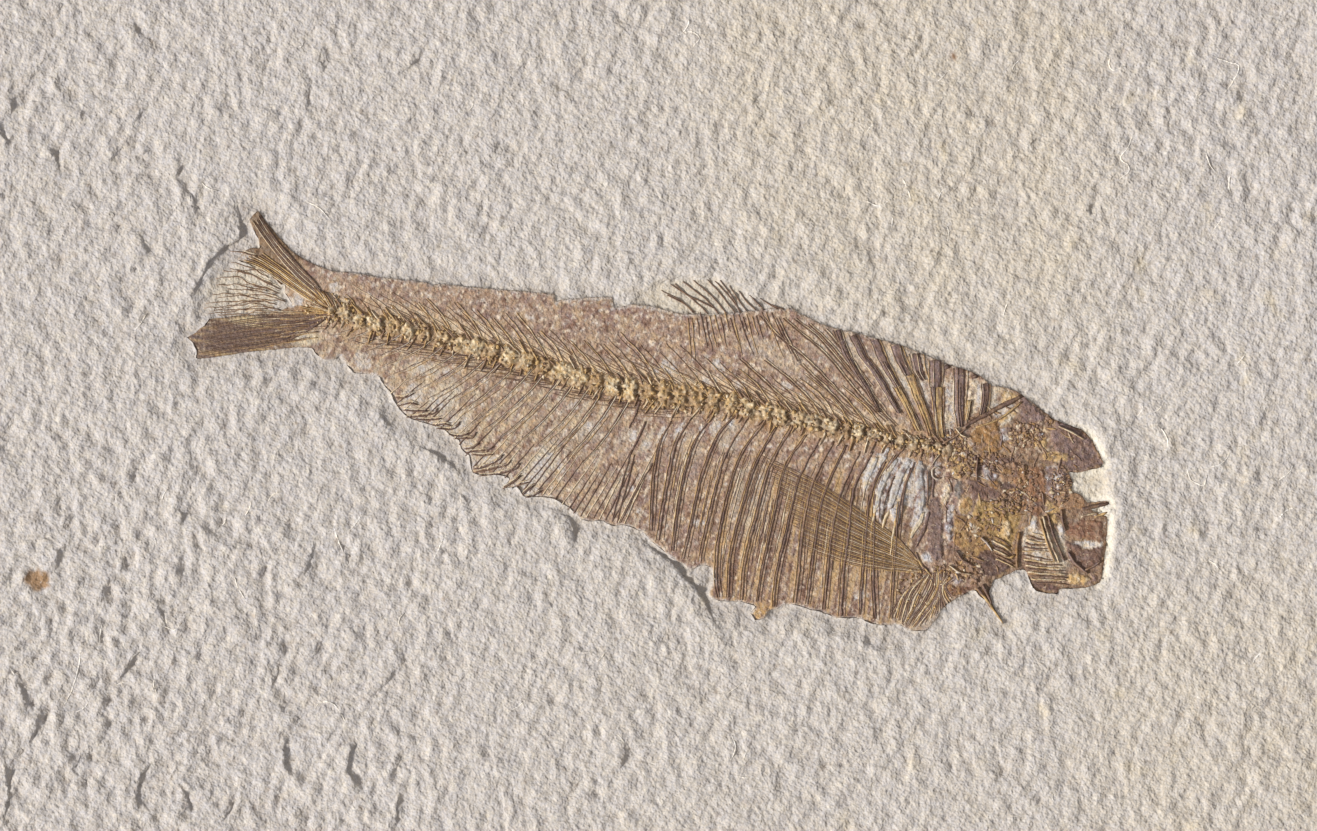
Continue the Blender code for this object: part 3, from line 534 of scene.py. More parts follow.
def side_ring(height):
    """The slab's outline at one height: a rectangle with small round corners, set in by the broken edge."""
    ring = []
    for cx, cy, first in ((1, -1, -90.0), (1, 1, 0.0), (-1, 1, 90.0), (-1, -1, 180.0)):
        middle_x, middle_y = cx * (HALF_LENGTH - CORNER), cy * (HALF_WIDTH - CORNER)
        places = [(share, 0.0) for share in np.arange(0.0, 1.0, SIDE_STEP / (CORNER * math.pi / 2))]
        straight = 2 * (HALF_WIDTH if first in (-90.0, 90.0) else HALF_LENGTH) - 2 * CORNER
        places += [(1.0, far) for far in np.arange(0.0, straight - 0.3 * SIDE_STEP, SIDE_STEP)]
        for share, far in places:
            angle = math.radians(first + 90.0 * share)
            c, s = math.cos(angle), math.sin(angle)
            x, y = middle_x + CORNER * c - s * far, middle_y + CORNER * s + c * far
            inset = broken_edge(x, y, height)
            ring.append((x - c * inset, y - s * inset))
    return np.array(ring)


def rock_colour(x, y, z):
    """Pale limestone: grey-lilac at the left, warm beige at the upper right, with faint stains and pale crumbs."""
    coat = Coats(len(x), 208, 202, 196)
    warm = blob(x, y, 40, 42, 40, 34, -50) + 0.8 * blob(x, y, 88, -48, 26, 26)
    coat(212, 202, 185, np.clip(warm, 0, 1) * (0.55 + 0.45 * rough(x / 9, y / 9, 51, 3)))
    coat(207, 202, 199, smooth(10, -60, x) * 0.6 + blob(x, y, 86, 34, 22, 40, 10) * 0.5)
    coat(222, 204, 160, 0.5 * smooth(0.25, 0.9, rough(x / 5, y / 5, 52, 3)) * smooth(-30, 60, x))
    coat(190, 182, 178, 0.5 * smooth(0.1, 0.8, rough(x / 2.2, y / 2.8, 53, 2)))
    coat(228, 222, 210, 0.6 * smooth(0.35, 0.8, waves(x / 0.9, y / 1.1, 54)))
    # painted shade: the rock is painted darker where it lies low, in its pits and creases and where it was scraped down
    # round the fish
    coat(176, 166, 156, 0.4 * smooth(TOP - 0.1, TOP - 0.6, z))
    coat(214, 204, 186, 0.8 * np.clip(sum(blob(x, y, *hollow[:5]) for hollow in HOLLOWS), 0, 1))
    coat(150, 128, 108, 0.45 * (1 - smooth(0.02, 0.06, nearest_spot(x / 6.5, y / 6.5, 55))))
    # painted highlight: the wall of rock in front of the head is painted paler where it faces the lamp
    coat(236, 229, 212, 0.7 * (1 - smooth(0.5, 1.3, away_from(EDGE, x, y, 3.0))) * before_head(x, y, 64.5))
    # the rust spot at the left, and a smaller one at the top
    ragged = 0.7 * rough(x / 1.3, y / 1.3, 56, 3, 0.7)
    coat(168, 138, 108, smooth(1.12, 0.9, np.hypot(x + 93.3, (y + 24.8) * 1.15) / 1.75 + ragged))
    coat(150, 118, 92, blob(x, y, 44.0, 53.9, 0.55, 0.5))
    return coat.tones


def side_colour(x, y, z):
    """The broken sides show thin bedding layers, some darker with clay."""
    coat = Coats(len(x), 203, 196, 184)
    coat(170, 156, 138, 0.7 * smooth(0.1, 0.7, waves(z / 0.9 + 0.03 * x, z * 0 + 0.02 * y, 71)))
    coat(222, 216, 204, 0.6 * smooth(0.0, 0.8, rough(x / 3 + y / 3, z / 0.8, 72, 2)))
    return coat.tones


ROCK_TOP = KDTree(220000)  # the split face's points in plan, filled as the rock is made
ROCK_LEVEL = []


def flake_lines(flakes, points):
    """The lines that flakes end along, each with a lip on both sides, and the points that keep clear of them."""
    groups = []
    for line, _, _ in flakes:
        run = shaken(curve(line, 0.45), 0.16, 0.8, 61)
        across = 0.055 * normals(run)
        points = points[distance_to(run, *points.T, reach=1.0)[0] > 0.2]
        keep = ~inside(EDGE, *run.T) & (away_from(EDGE, *run.T) > 0.3)
        groups.append((run[keep], (run + across)[keep], (run - across)[keep]))
    return [group for group in groups if len(group[0]) > 1], points


def make_rock(material):
    """The slab: the split face with the fish's hollow in it, broken sides and a flat underside, as one closed body."""
    rim = side_ring(TOP - 0.1)
    fine = scattered(VIEW, ROCK_GRID, 1)
    wide = scattered((-HALF_LENGTH, -HALF_WIDTH, HALF_LENGTH, HALF_WIDTH), MARGIN_GRID, 2)
    beyond = (wide[:, 0] < VIEW[0]) | (wide[:, 0] > VIEW[2]) | (wide[:, 1] < VIEW[1]) | (wide[:, 1] > VIEW[3])
    points = np.vstack([fine, wide[beyond]])
    points = points[inside(rim, *points.T)]
    for loop, clearance in ((EDGE, 0.22), (rim, 0.45)):
        points = points[away_from(loop, *points.T) > clearance]
    flakes = SCARPS + small_scarps()
    lines, points = flake_lines(flakes, points[~inside(EDGE, *points.T)])
    plan, faces = triangulated(points, [EDGE, rim], [side for group in lines for side in group[1:]])
    x, y = plan.T
    middle = plan[faces].mean(axis=1)
    faces = faces[~inside(EDGE, *middle.T) & inside(rim, *middle.T)].tolist()
    scarps = [(group[0], *distance_to(group[0], x, y, reach=3.0 * reach), size, reach)
              for (_, size, reach), group in zip(flakes, lines)]
    z = rock_height(x, y, away_from(EDGE, x, y, 9.0), scarps)
    z = z - 0.35 * (1 - smooth(0.0, 1.6, away_from(rim, x, y, 3.0))) * (1.0 + waves(x / 2, y / 2, 63))
    verts, colours = [np.stack([x, y, z], 1)], [rock_colour(x, y, z)]

    def add_ring(ring, heights, upper, flip=False):
        """Joins a ring of new points to the ring above it."""
        ring = np.column_stack([ring, np.broadcast_to(heights, len(ring))])
        start = sum(map(len, verts))
        verts.append(ring)
        colours.append(side_colour(*ring.T))
        lower = list(range(start, start + len(ring)))
        add_wall(faces, upper, lower, flip)
        return lower

    upper = index_of(plan, rim)
    for height in reversed(SIDE_LEVELS):
        upper = add_ring(side_ring(height), height, upper)
    faces.append(tuple(reversed(upper)))
    flip = clockwise(EDGE)
    wall = index_of(plan, EDGE)
    upper = add_ring(EDGE, np.minimum(z[wall] - 0.05, SHEET - 0.1), wall, flip)
    upper = add_ring(EDGE, HOLLOW_FLOOR, upper, flip)
    faces.append(tuple(reversed(upper)) if flip else tuple(upper))
    for number, (px, py, pz) in enumerate(zip(x, y, z)):
        ROCK_TOP.insert((px, py, 0.0), number)
        ROCK_LEVEL.append(pz)
    ROCK_TOP.balance()
    rock = new_piece("matrix_rock", np.vstack(verts), faces, np.vstack(colours), material)
    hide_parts("matrix_slab")


# ================================================================ the fish's sheet
FLAKES = [
    # pale patches where the sheet has flaked: middle, half sizes, turn
    (-2.2, -4.6, 1.1, 0.8, 10), (-4.1, -3.1, 0.9, 0.9, 30), (0.4, -3, 0.7, 1.4, -20), (5.8, -16.2, 0.8, 0.6, -10),
    (8.2, -2, 0.9, 1.3, -30), (10.6, -0.8, 0.7, 0.9, 0), (2.8, -2.6, 0.6, 1.6, -25), (6, -2.6, 0.5, 1.2, -30),
    (-10.4, -1.6, 1, 0.9, 0), (-15, -7.6, 0.7, 1.1, 20), (30, -27, 0.9, 0.7, 0), (-36, 7, 0.7, 0.5, 0),
    (-32, 6.7, 0.6, 0.5, 0), (-48.7, 19.1, 1, 0.8, 20), (-44.6, 8, 1.2, 1.4, 20), (-18.6, -8.8, 1.4, 3.4, -35),
    (-32.9, 1.9, 1.1, 1.8, -40),
    (-24, -6.4, 0.9, 0.8, 30), (-30.5, -1.4, 1.6, 1.2, 30), (-37, 3.2, 1.5, 1.4, 0), (-13.2, 1.2, 0.9, 0.6, 0),
    (1.2, 7.2, 1.5, 1.2, -40), (8.7, 7.4, 1.2, 0.8, -30), (7.4, 5.2, 1.4, 0.7, -30), (-1, 6.6, 0.8, 0.6, -30),
    (19, 4.4, 1, 0.6, -20), (12, 4.6, 1, 0.5, -20), (-3.2, -14.4, 0.5, 0.4, 0), (-4.2, -11, 0.3, 0.5, 0),
    (-38.4, 1.2, 1.6, 1.2, -30), (-32.6, -1.6, 1.8, 0.7, -20), (-29.2, -4.4, 1, 0.9, 0), (-26.2, -6.9, 1.8, 0.6, 10),
    (-24, -9.6, 2.2, 0.8, 10), (-54.6, 17.3, 1.5, 1, 20), (-62.4, 23.5, 1.4, 0.7, 25), (-19.6, -11.4, 1.4, 0.6, 20),
    (44, 2, 1.3, 3.6, 0), (47.2, 3.2, 1, 2.4, 0), (43.2, -2.6, 1, 1.6, 0), (51.4, 1, 1.6, 1, 30),
    (51.5, -2.9, 0.8, 0.9, 0), (39.6, 3, 0.5, 2.6, 15), (63.5, -19.4, 1.7, 0.5, 0), (62.8, -21.6, 1.3, 0.4, 10),
    (37.4, -10.4, 1.5, 3.4, 10), (33.2, -11, 0.7, 2.6, 15), (39.4, -13.6, 0.7, 2.6, 10), (31.6, -8, 0.5, 1.8, 30),
]
BLEACHED = [
    # areas where the sheet is thin and the stone shows through: middle, half sizes, turn, share
    (-18.4, -8.4, 2.2, 5.4, -35, 1), (-30.8, -1.6, 2, 3.2, -40, 0.7),
    (-32.6, 2.4, 2.2, 3.6, -40, 1), (-37, 2.4, 1.8, 2.6, -40, 0.5),
    (-35.4, 7, 3.4, 1.1, 0, 0.8), (-11, -2.6, 2.6, 1.6, 0, 0.6), (4.6, -6, 2, 3.6, -15, 0.3),
    (10.4, -3.4, 1.6, 2.8, -20, 0.5), (-26.8, -6.6, 2.2, 0.9, 0, 0.8), (13.6, -12.6, 3.2, 5.4, -8, 0.55),
    (18, 8.4, 7, 2.2, -25, 0.4), (27, 10, 5, 3, -25, 0.6), (36.6, 6.6, 5.4, 3.8, -30, 0.85),
    (50, 2.6, 3.4, 2.6, -30, 0.75), (-49.3, 16, 3.2, 2.4, 0, 1), (59, -20.8, 2.6, 3.4, 0, 1),
    (38.2, -29.4, 4, 3.2, 10, 0.65), (-38, 14.6, 6, 2, -5, 0.25),
]


def sheet_colour(x, y, edge_distance):
    """Brown, mauve and tan blotches, pale speckles, gold along the backbone, and pale patches where it flaked."""
    above = y - spine_at(x)
    u, v = leaning(x, y)
    coat = Coats(len(x), 172, 149, 130)
    coat(148, 121, 111, 0.85 * smooth(-0.15, 0.4, rough(x / 3, y / 3.4, 81, 3)))
    coat(192, 167, 134, 0.75 * smooth(0.0, 0.42, rough(u / 1.3, v / 2.2, 82, 3)))
    coat(122, 94, 80, 0.9 * smooth(0.1, 0.42, rough(u / 0.85, v / 1.7, 83, 3)))
    coat(222, 208, 188, 0.9 * smooth(0.16, 0.45, rough(u / 0.65, v / 1.05, 84, 2)))
    coat(96, 72, 60, 0.65 * smooth(0.3, 0.6, rough(u / 0.45, v / 0.8, 85, 2)))
    # stripes along the ribs, and finer ones along the spines of the tail half
    ribbed = smooth(4, 10, x) * smooth(-5, -11, y) * smooth(41, 37, x)
    across = x - 0.2 * (y + 20.0)
    stripes = waves(across / 0.95, y / 14, 101) + 0.6 * waves(across / 0.42, y / 9, 102)
    coat(190, 160, 116, 0.85 * ribbed * smooth(0.0, 0.5, stripes))
    coat(116, 88, 74, 0.85 * ribbed * smooth(0.0, -0.5, stripes))
    raking = smooth(1.5, -1.0, x) * smooth(-0.5, -3.0, above)
    stripes = waves(u / 0.8, v / 8, 103) + 0.5 * waves(u / 0.36, v / 6, 104)
    coat(208, 194, 168, 0.7 * raking * smooth(0.1, 0.7, stripes))
    coat(124, 96, 80, 0.6 * raking * smooth(-0.2, -0.7, stripes))
    gold = np.exp(-((above / 2.4) ** 2)) * smooth(46, 40, x)
    coat(186, 152, 98, gold * (0.45 + 0.4 * rough(x / 1.2, y / 1.2, 86, 2)))
    streaky = smooth(0.0, -2.5, above) * smooth(-2, -14, x)
    coat(196, 180, 150, 0.45 * streaky * smooth(-0.2, 0.5, rough(x / 1.6, y / 2, 87, 2)))
    head = smooth(44.5, 49.0, x) * smooth(4, 0, y)
    coat(138, 112, 90, 0.7 * head)
    coat(172, 142, 98, head * 0.7 * smooth(0.05, 0.6, rough(x / 1.5, y / 1.3, 88, 3)))
    coat(84, 66, 54, head * 0.8 * smooth(0.1, 0.6, rough(x, y / 1.1, 89, 3)))
    coat(190, 172, 148, head * 0.7 * smooth(0.35, 0.7, rough(x / 0.8, y / 0.7, 90, 2)))
    # the chest fin's web, and the golden tag on the belly's edge
    web = blob(x, y, 30.5, -17.2, 9.5, 4.4, -40) * smooth(21, 5, np.hypot(x - 39.0, y + 22.5))
    coat(136, 118, 84, 0.9 * web * smooth(-0.6, 0.2, rough(x / 2.2, y / 1.6, 106, 2)))
    tag = blob(x, y, 14.9, -29.6, 1.9, 1.6)
    coat(194, 160, 104, 0.8 * tag * smooth(-0.5, 0.2, rough(x / 0.6, y / 0.6, 96, 2)))
    lower_lobe = smooth(-52, -57, x) * smooth(16.5, 14.5, y)
    coat(122, 103, 92, 0.86 * lower_lobe)
    streak = waves(x / 7, (y + 0.1 * x) / 0.5, 105)
    coat(186, 160, 112, 0.6 * lower_lobe * smooth(0.1, 0.7, streak))
    coat(84, 68, 62, 0.6 * lower_lobe * smooth(-0.1, -0.7, streak))
    coat(206, 190, 150, 0.95 * blob(x, y, -61, 14, 3.6, 0.8, -4))
    coat(210, 198, 172, 0.9 * blob(x, y, -53, 11.4, 2.4, 1, 8))
    coat(128, 106, 82, 0.8 * smooth(-52.5, -56.0, x) * smooth(18, 20, y))
    # a paler band over the backbone, partly its own colour and partly painted light against the shadow the backbone
    # casts there, and where the sheet is thin
    lit = np.exp(-(((above - 2.2) / 1.5) ** 2)) * smooth(-44, -38, x) * smooth(38, 33, x)
    coat(212, 192, 162, 0.9 * lit * smooth(-0.7, 0.1, rough(x / 1.1, y / 1.4, 108, 3)))
    thin = smooth(-0.6, 0.15, rough(x / 1.3, y / 1.7, 107, 3))
    for *ellipse, share in BLEACHED:
        coat(206, 196, 176, share * blob(x, y, *ellipse) * thin)
    # bare stone in ragged flakes, along the frayed edges and in small specks
    pale = np.zeros(len(x))
    ragged = 0.5 * rough(x, y, 91, 3, 0.7)
    for cx, cy, rx, ry, turn in FLAKES:
        near = np.maximum(np.abs(x - cx), np.abs(y - cy)) < 3 * max(rx, ry)
        far = oval(x[near], y[near], cx, cy, rx, ry, turn) + ragged[near] * 1.6
        pale[near] = np.maximum(pale[near], 1 - smooth(0.85, 1.0, far))
    back = smooth(-18, -15, x) * smooth(6, 2, x) * smooth(6, 10, y)
    belly = smooth(-44, -41, x) * smooth(-14, -19, x) * smooth(8, 4, y)
    depth = (0.25 + 0.4 * back + 0.6 * belly) * (0.55 + 1.1 * rough(x / 0.9, y / 0.9, 95, 3, 0.7))
    frayed = smooth(0.2, -0.1, edge_distance - depth) * smooth(46, 42, x) * smooth(-52, -48, x)
    specks = smooth(0.62, 0.72, rough(x / 1.1, y / 1.4, 92, 2)) * smooth(0.0, -2.0, above)
    pale = 0.85 * np.maximum(np.maximum(pale, frayed), specks)[:, None]
    stone = Coats(len(x), 208, 201, 191)
    stone(186, 174, 160, smooth(-0.2, 0.6, rough(x / 0.8, y / 0.8, 93, 2)))
    _, cover, tones = crushed_plates(x, y)
    coat.tones = (coat.tones * (1 - pale) + stone.tones * pale) * (1 - cover[:, None]) + tones
    # painted shade: the sheet is painted darker in ragged patches along its edge, where it meets the rock's wall
    edge_shade_patches = smooth(-0.3, 0.3, rough(x / 0.8, y / 0.8, 94, 2))
    coat(98, 78, 66, 0.2 * edge_shade_patches * (1 - smooth(0.05, 0.4, edge_distance)))
    return coat.tones


def make_sheet(material):
    """The fish's brown sheet, which fills the hollow of the rock."""
    body = scattered((-72.0, -33.0, HEAD_START, 31.5), SHEET_GRID, 3)
    head = scattered((HEAD_START, -33.0, 68.0, 8.0), HEAD_GRID, 4)
    points = np.vstack([body[body[:, 0] < HEAD_START - 0.05], head])
    verts, faces, colours = plate(points, EDGE, 0.12, sheet_height, lambda rim: SHEET_BASE + 0 * rim, sheet_colour)
    sheet = new_piece("fish_sheet", verts, faces, colours, material)
    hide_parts("fossil_fish")


# ================================================================ bones
DARK = srgb(114, 91, 82)
MAUVE = srgb(134, 113, 108)
BROWN = srgb(146, 119, 98)
GOLD = srgb(196, 166, 116)
AMBER = srgb(156, 120, 76)
CREAM = srgb(220, 204, 176)
CHALK = srgb(206, 202, 198)
ROCK = srgb(208, 202, 192)


def ground(x, y, bare=False):
    """Height of what a bone lies on: the sheet, or where it is bare, the rock beyond the sheet's edge."""
    x, y = np.atleast_1d(np.asarray(x, float)), np.atleast_1d(np.asarray(y, float))
    level = sheet_height(x, y, np.full(len(x), WELL_INSIDE))
    if bare:
        for number in np.where(~inside(EDGE, x, y))[0]:
            near = ROCK_TOP.find_n((x[number], y[number], 0.0), 3)
            level[number] = sum(ROCK_LEVEL[found[1]] for found in near) / 3
    return level


def jitter(size):
    """A small number either way, at random."""
    return float(RNG.uniform(-size, size))


def one_of(*tones):
    """One of some colours, at random."""
    return tones[int(RNG.integers(0, len(tones)))]


def spot_in(cx, cy, rx, ry):
    """A random place in an ellipse."""
    turn, far = RNG.uniform(0, 2 * math.pi), math.sqrt(RNG.random())
    return cx + rx * far * math.cos(turn), cy + ry * far * math.sin(turn)


class Bits:
    """Gathers many small solids into one piece."""

    def __init__(self, name, bare=False, slot="fossil_bone"):
        self.name = name
        self.bare = bare  # whether some of it lies on the bare rock
        self.slot = slot
        self.verts, self.faces, self.tones = [], [], []
        self.count = 0

    def add(self, verts, faces, tones):
        self.verts.append(verts)
        self.tones.append(tones)
        self.faces += [tuple(i + self.count for i in f) for f in faces]
        self.count += len(verts)

    def rod(self, points, width, height, tone, second, ends=(0.6, 0.35), wobble=0.05, lift=0.0, ridges=0, share=0.5):
        """A slender bone that lies on the sheet: rounded across, or ridged lengthwise like a splint.

        ends are its widths at the first and the last point, as shares of the full width, wobble is how far it strays
        sideways, and share is how much of it has the second colour.
        """
        seed = int(RNG.integers(1 << 20))
        path = curve(points, ROD_STEPS[width >= 0.5])
        n = len(path)
        t = np.linspace(0.0, 1.0, n)
        along = t * n * 0.5

        def wave(size, shift, number):
            return waves(along / size, along * 0 + seed * shift, number)

        across = normals(path)
        path = path + across * (wobble * wave(1.3, 0.37, 201))[:, None]
        shape = np.interp(t, (0, 0.12, 0.5, 0.85, 1), (ends[0], 0.5 + ends[0] / 2, 1, 0.5 + ends[1] / 2, ends[1]))
        half = width / 2 * shape * (1 + 0.22 * wave(0.9, 0.71, 202))
        rows = 2 * ridges + 3 if ridges else 5
        s = np.linspace(-1.0, 1.0, rows)
        crown = np.sqrt(np.maximum(0.0, 1 - s * s))
        if ridges:
            crown = np.minimum(1.0, crown * 2.2) * (1 - 0.3 * (np.arange(rows) % 2))
        x, y = (path[:, k, None] + across[:, k, None] * half[:, None] * s for k in (0, 1))
        base = ground(*path.T, self.bare)[:, None] + lift
        rise = height * (0.6 + 0.4 * shape) * (1 + 0.25 * wave(1.1, 0.53, 203))
        z = base - SUNK + (rise[:, None] + SUNK) * crown
        verts = np.vstack([np.stack([x, y, z], -1).reshape(-1, 3), np.column_stack([path, base[:, 0] - BURIED])])
        low = n * rows
        faces = []
        for i in range(n - 1):
            a, b = i * rows, (i + 1) * rows
            faces += [(a + j, b + j, b + j + 1, a + j + 1) for j in range(rows - 1)]
            faces.append((low + i, low + i + 1, b, a))
            faces.append((low + i + 1, low + i, b - 1, b + rows - 1))
        for i, flip in ((0, False), (n - 1, True)):
            loop = [*range(i * rows, (i + 1) * rows), low + i]
            faces.append(tuple(reversed(loop)) if flip else tuple(loop))
        far, over = np.repeat(along, rows), np.tile(s, n)
        patch = waves(far / 1.6, over * 0.7 + seed * 0.19, 204) * 0.9 + (share - 0.5) * 2
        tones = mixed(np.tile(tone, (n * rows, 1)), second, smooth(-0.15, 0.35, patch))
        tones = tones * (1 + 0.22 * waves(far / 0.7, over + seed * 0.11, 205))[:, None]
        # painted shade: on a ridged bone the lower rows, its grooves, are painted darker
        if ridges:
            tones = tones * (1 - 0.18 * np.tile(np.arange(rows) % 2, n))[:, None]
        # the buried underside is painted darker than the bone: painted shade where the bone's foot meets what it lies
        # on
        self.add(verts, faces, np.vstack([tones, np.tile(tone * 0.7, (n, 1))]))

    def lump(self, x, y, rx, ry, height, tone, second, turn=0.0, rugged=0.3, lift=0.0, rings=3, around=9):
        """A rounded crumb or bead of bone with a ragged outline."""
        seed = float(RNG.uniform(0, 500))
        angle = np.linspace(0, 2 * math.pi, around, endpoint=False)
        c, s = np.cos(angle), np.sin(angle)
        verts = [[0.0, 0.0, 1.0]]
        for ring in range(1, rings + 1):
            r = ring / rings
            wave = 1 + rugged * waves(c * 1.4 + seed, s * 1.4 + r, 211)
            up = math.sqrt(max(0.0, 1 - r * r)) + rugged * 0.8 * waves(c * 2.5 * r + seed, s * 2.5 * r, 212)
            if ring == rings:
                up = np.full(around, -0.3)
            verts += np.stack([c * r * wave, s * r * wave, up], 1).tolist()
        px, py, pz = np.array(verts).T * np.array([[rx], [ry], [height]])
        c, s = math.cos(math.radians(turn)), math.sin(math.radians(turn))
        base = float(ground(x, y)[0]) + lift
        out = np.stack([x + px * c - py * s, y + px * s + py * c, base + pz], 1)
        faces = [(0, 1 + k, 1 + (k + 1) % around) for k in range(around)]
        for ring in range(rings - 1):
            a, b = 1 + ring * around, 1 + (ring + 1) * around
            faces += [(a + k, b + k, b + (k + 1) % around, a + (k + 1) % around) for k in range(around)]
        faces.append(tuple(reversed(range(1 + (rings - 1) * around, 1 + rings * around))))
        x, y = out[:, 0], out[:, 1]
        tones = mixed(np.tile(tone, (len(out), 1)), second, smooth(-0.2, 0.5, waves(x / 0.5 + seed, y / 0.5, 213)))
        self.add(out, faces, tones * (1 + 0.2 * waves(x / 0.3, y / 0.3 + seed, 214))[:, None])

    def crumb(self, x, y, rx, ry, height, tone, second, lift):
        """A small lump with few faces, very ragged and turned at random."""
        self.lump(x, y, rx, ry, height, tone, second, jitter(90), 0.6, lift, rings=2, around=7)

    def patch(self, loop, grid, top, colour):
        """A thin solid over a loop in plan. top and colour give the height and the colour at each point."""
        points = scattered((*loop.min(axis=0), *loop.max(axis=0)), grid, 5)
        self.add(*plate(points, loop, 0.5 * grid, top, lambda rim: rim - 0.3, colour))

    def make(self, material):
        piece = new_piece(self.name, np.vstack(self.verts), self.faces, np.vstack(self.tones), material)
        return piece


RIBS = [
    # (width, points from the backbone down), tail end first
    (0.75, [(-2.9, 2.2), (-3.6, 0.4), (-4.7, -2)]), (0.6, [(-2.1, -1), (-3, -2.9), (-4.2, -5.2)]),
    (0.4, [(-4.2, -5.2), (-5.5, -9), (-7.3, -16)]), (0.4, [(-3.9, -6), (-5, -10.5), (-6.6, -16.2)]),
    (0.34, [(-1, -7.2), (-3.2, -10.8), (-6, -16.2)]),
    (0.42, [(1.7, -0.9), (0.6, -2.8), (0, -4.5), (-0.8, -9), (-1.2, -13), (-1.3, -17.4)]),
    (0.62, [(4.8, -0.5), (3.2, -2.6), (2.2, -4.9), (1.3, -9.7), (0.4, -15), (-0.2, -18.8)]),
    (0.4, [(7.6, -0.5), (6.2, -2.4), (4.9, -5), (3.4, -10.5), (2.4, -17), (2, -20.4)]),
    (0.5, [(11.5, 0), (9.5, -2), (8, -4.5), (6.1, -10), (4.6, -17), (3.6, -21.6)]),
    (0.46, [(13, -0.8), (10, -5.7), (8.2, -12), (6.4, -20), (6, -22)]),
    (0.5, [(15, -2), (12.3, -6), (10.3, -12), (8.9, -19), (8.5, -24.4), (8.9, -27.4)]),
    (0.42, [(17.5, -1.8), (14.4, -7.5), (12.3, -14), (10.6, -21), (10.2, -27.4)]),
    (0.46, [(20, -1.5), (16.5, -7.8), (14.8, -14), (12.9, -22), (12.3, -27.8)]),
    (0.4, [(22, -3), (18.7, -8), (16.9, -16), (15.4, -23), (14.6, -28)]),
    (0.44, [(24, -3.5), (21, -9.5), (19.2, -17), (17.6, -24), (17, -28.8)]),
    (0.6, [(26, -4), (23, -10), (21.4, -17), (20.9, -23), (20.3, -28.2)]),
    (0.44, [(28, -4.5), (24.7, -12), (23.2, -20), (22.2, -28.4)]),
    (0.46, [(30, -5.5), (27, -12), (25.6, -19), (24.7, -29.2)]),
    (0.62, [(32, -5.5), (29.2, -11), (28.3, -18), (27.6, -24), (27.2, -30.2)]),
    (0.46, [(33.8, -7), (31.6, -12), (30.8, -19), (30, -30)]),
    (0.5, [(35.3, -6), (32.6, -11), (32.2, -17), (32, -24), (32.4, -30.6)]),
    (0.46, [(37.5, -8), (36, -13), (35.4, -19), (35, -26), (34.8, -30.6)]),
]
BLADES = [
    # (width, golden, points from the back down)
    (1, 0, [(26.6, 12.7), (27.8, 9.6), (29.5, 6.5), (31, 4.2), (33, 0.4)]),
    (1.1, 0, [(29, 12), (30.6, 8.8), (32.5, 6.2), (34.4, 3), (36, 0.3)]),
    (1.2, 0, [(32.2, 11.3), (33.6, 8), (35, 5.5), (36, 3.8)]),
    (1.1, 1, [(35.6, 4.2), (37, 1.6), (38.8, -2.4)]),
    (1.45, 0, [(35.4, 10.5), (36.3, 8), (37.4, 5.9)]),
    (1.3, 1, [(37.6, 6), (38.7, 3), (40, -0.2), (40.9, -3.2)]),
    (1.6, 0, [(38.4, 9.2), (38.9, 6.6), (39.6, 5.2)]),
    (1.7, 0, [(41.4, 8.2), (41.4, 6), (41.4, 4.1)]),
    (1.15, 1, [(41.9, 4.2), (41.9, 1.2), (42, -1.2), (42.3, -3.4)]),
    (0.5, 0, [(41, 4.2), (41.3, 1), (41.7, -2.6)]),
    (1.6, 0, [(45.1, 7), (45, 4.2), (45, 1), (45.3, -1.8)]),
    (1.05, 0, [(48.9, 4.7), (48.9, 2.4), (48.4, 0)]),
    (0.7, 1, [(46.4, 2.2), (46.2, 0.6), (46, -0.8)]),
]


def make_ribs():
    """The ribs, each with a painted golden highlight and a dark hair beside it, and the splints between them."""
    ribs = Bits("ribs")
    for number, (width, points) in enumerate(RIBS):
        points = [(x + jitter(0.08), y) for x, y in points]
        ribs.rod(points, width * RNG.uniform(0.58, 0.84), 0.18, DARK, BROWN, ends=(0.75, 0.5), wobble=0.1,
                 share=RNG.uniform(0.2, 0.6))
        if number < 5:
            continue
        # a thin golden edge beside each rib on the side that faces the lamp, a painted highlight, broken here and
        # there, and a fine dark hair
        beside = [(x - width * 0.75 + jitter(0.05), y) for x, y in points]
        cut = int(RNG.integers(0, 2))
        ribs.rod(beside[cut:], RNG.uniform(0.14, 0.2), 0.16, GOLD, BROWN, wobble=0.09)
        beside = [(x + width * 0.8 + 0.12 + jitter(0.1), y) for x, y in points[1:]]
        ribs.rod(beside, 0.15, 0.12, BROWN, DARK)
    # golden and dark splints between the ribs
    for a, b in zip(RIBS[6:], RIBS[7:]):
        for share in (0.2, 0.3, 0.4, 0.5, 0.6, 0.7, 0.8):
            if RNG.random() < 0.25:
                continue
            first, second = curve(a[1], 1.0), curve(b[1], 1.0)
            n = min(len(first), len(second))
            low, high = sorted(RNG.uniform(0.15, 0.98, 2))
            if high - low < 0.25:
                continue
            pick = np.linspace(low * (n - 1), high * (n - 1), 5).astype(int)
            points = first[pick] * (1 - share) + second[pick] * share
            tone = one_of(GOLD, DARK, BROWN, CREAM)
            ribs.rod(points, RNG.uniform(0.14, 0.34), 0.1, tone, BROWN, ends=(0.4, 0.4), wobble=0.12)
    return ribs


def off_spine(x, run, first, middle, last):
    """Three points of a bone that runs along the backbone, at given heights over it."""
    return [(x + run * t, spine_at(x + run * t) + over) for t, over in ((0, first), (0.5, middle), (1, last))]


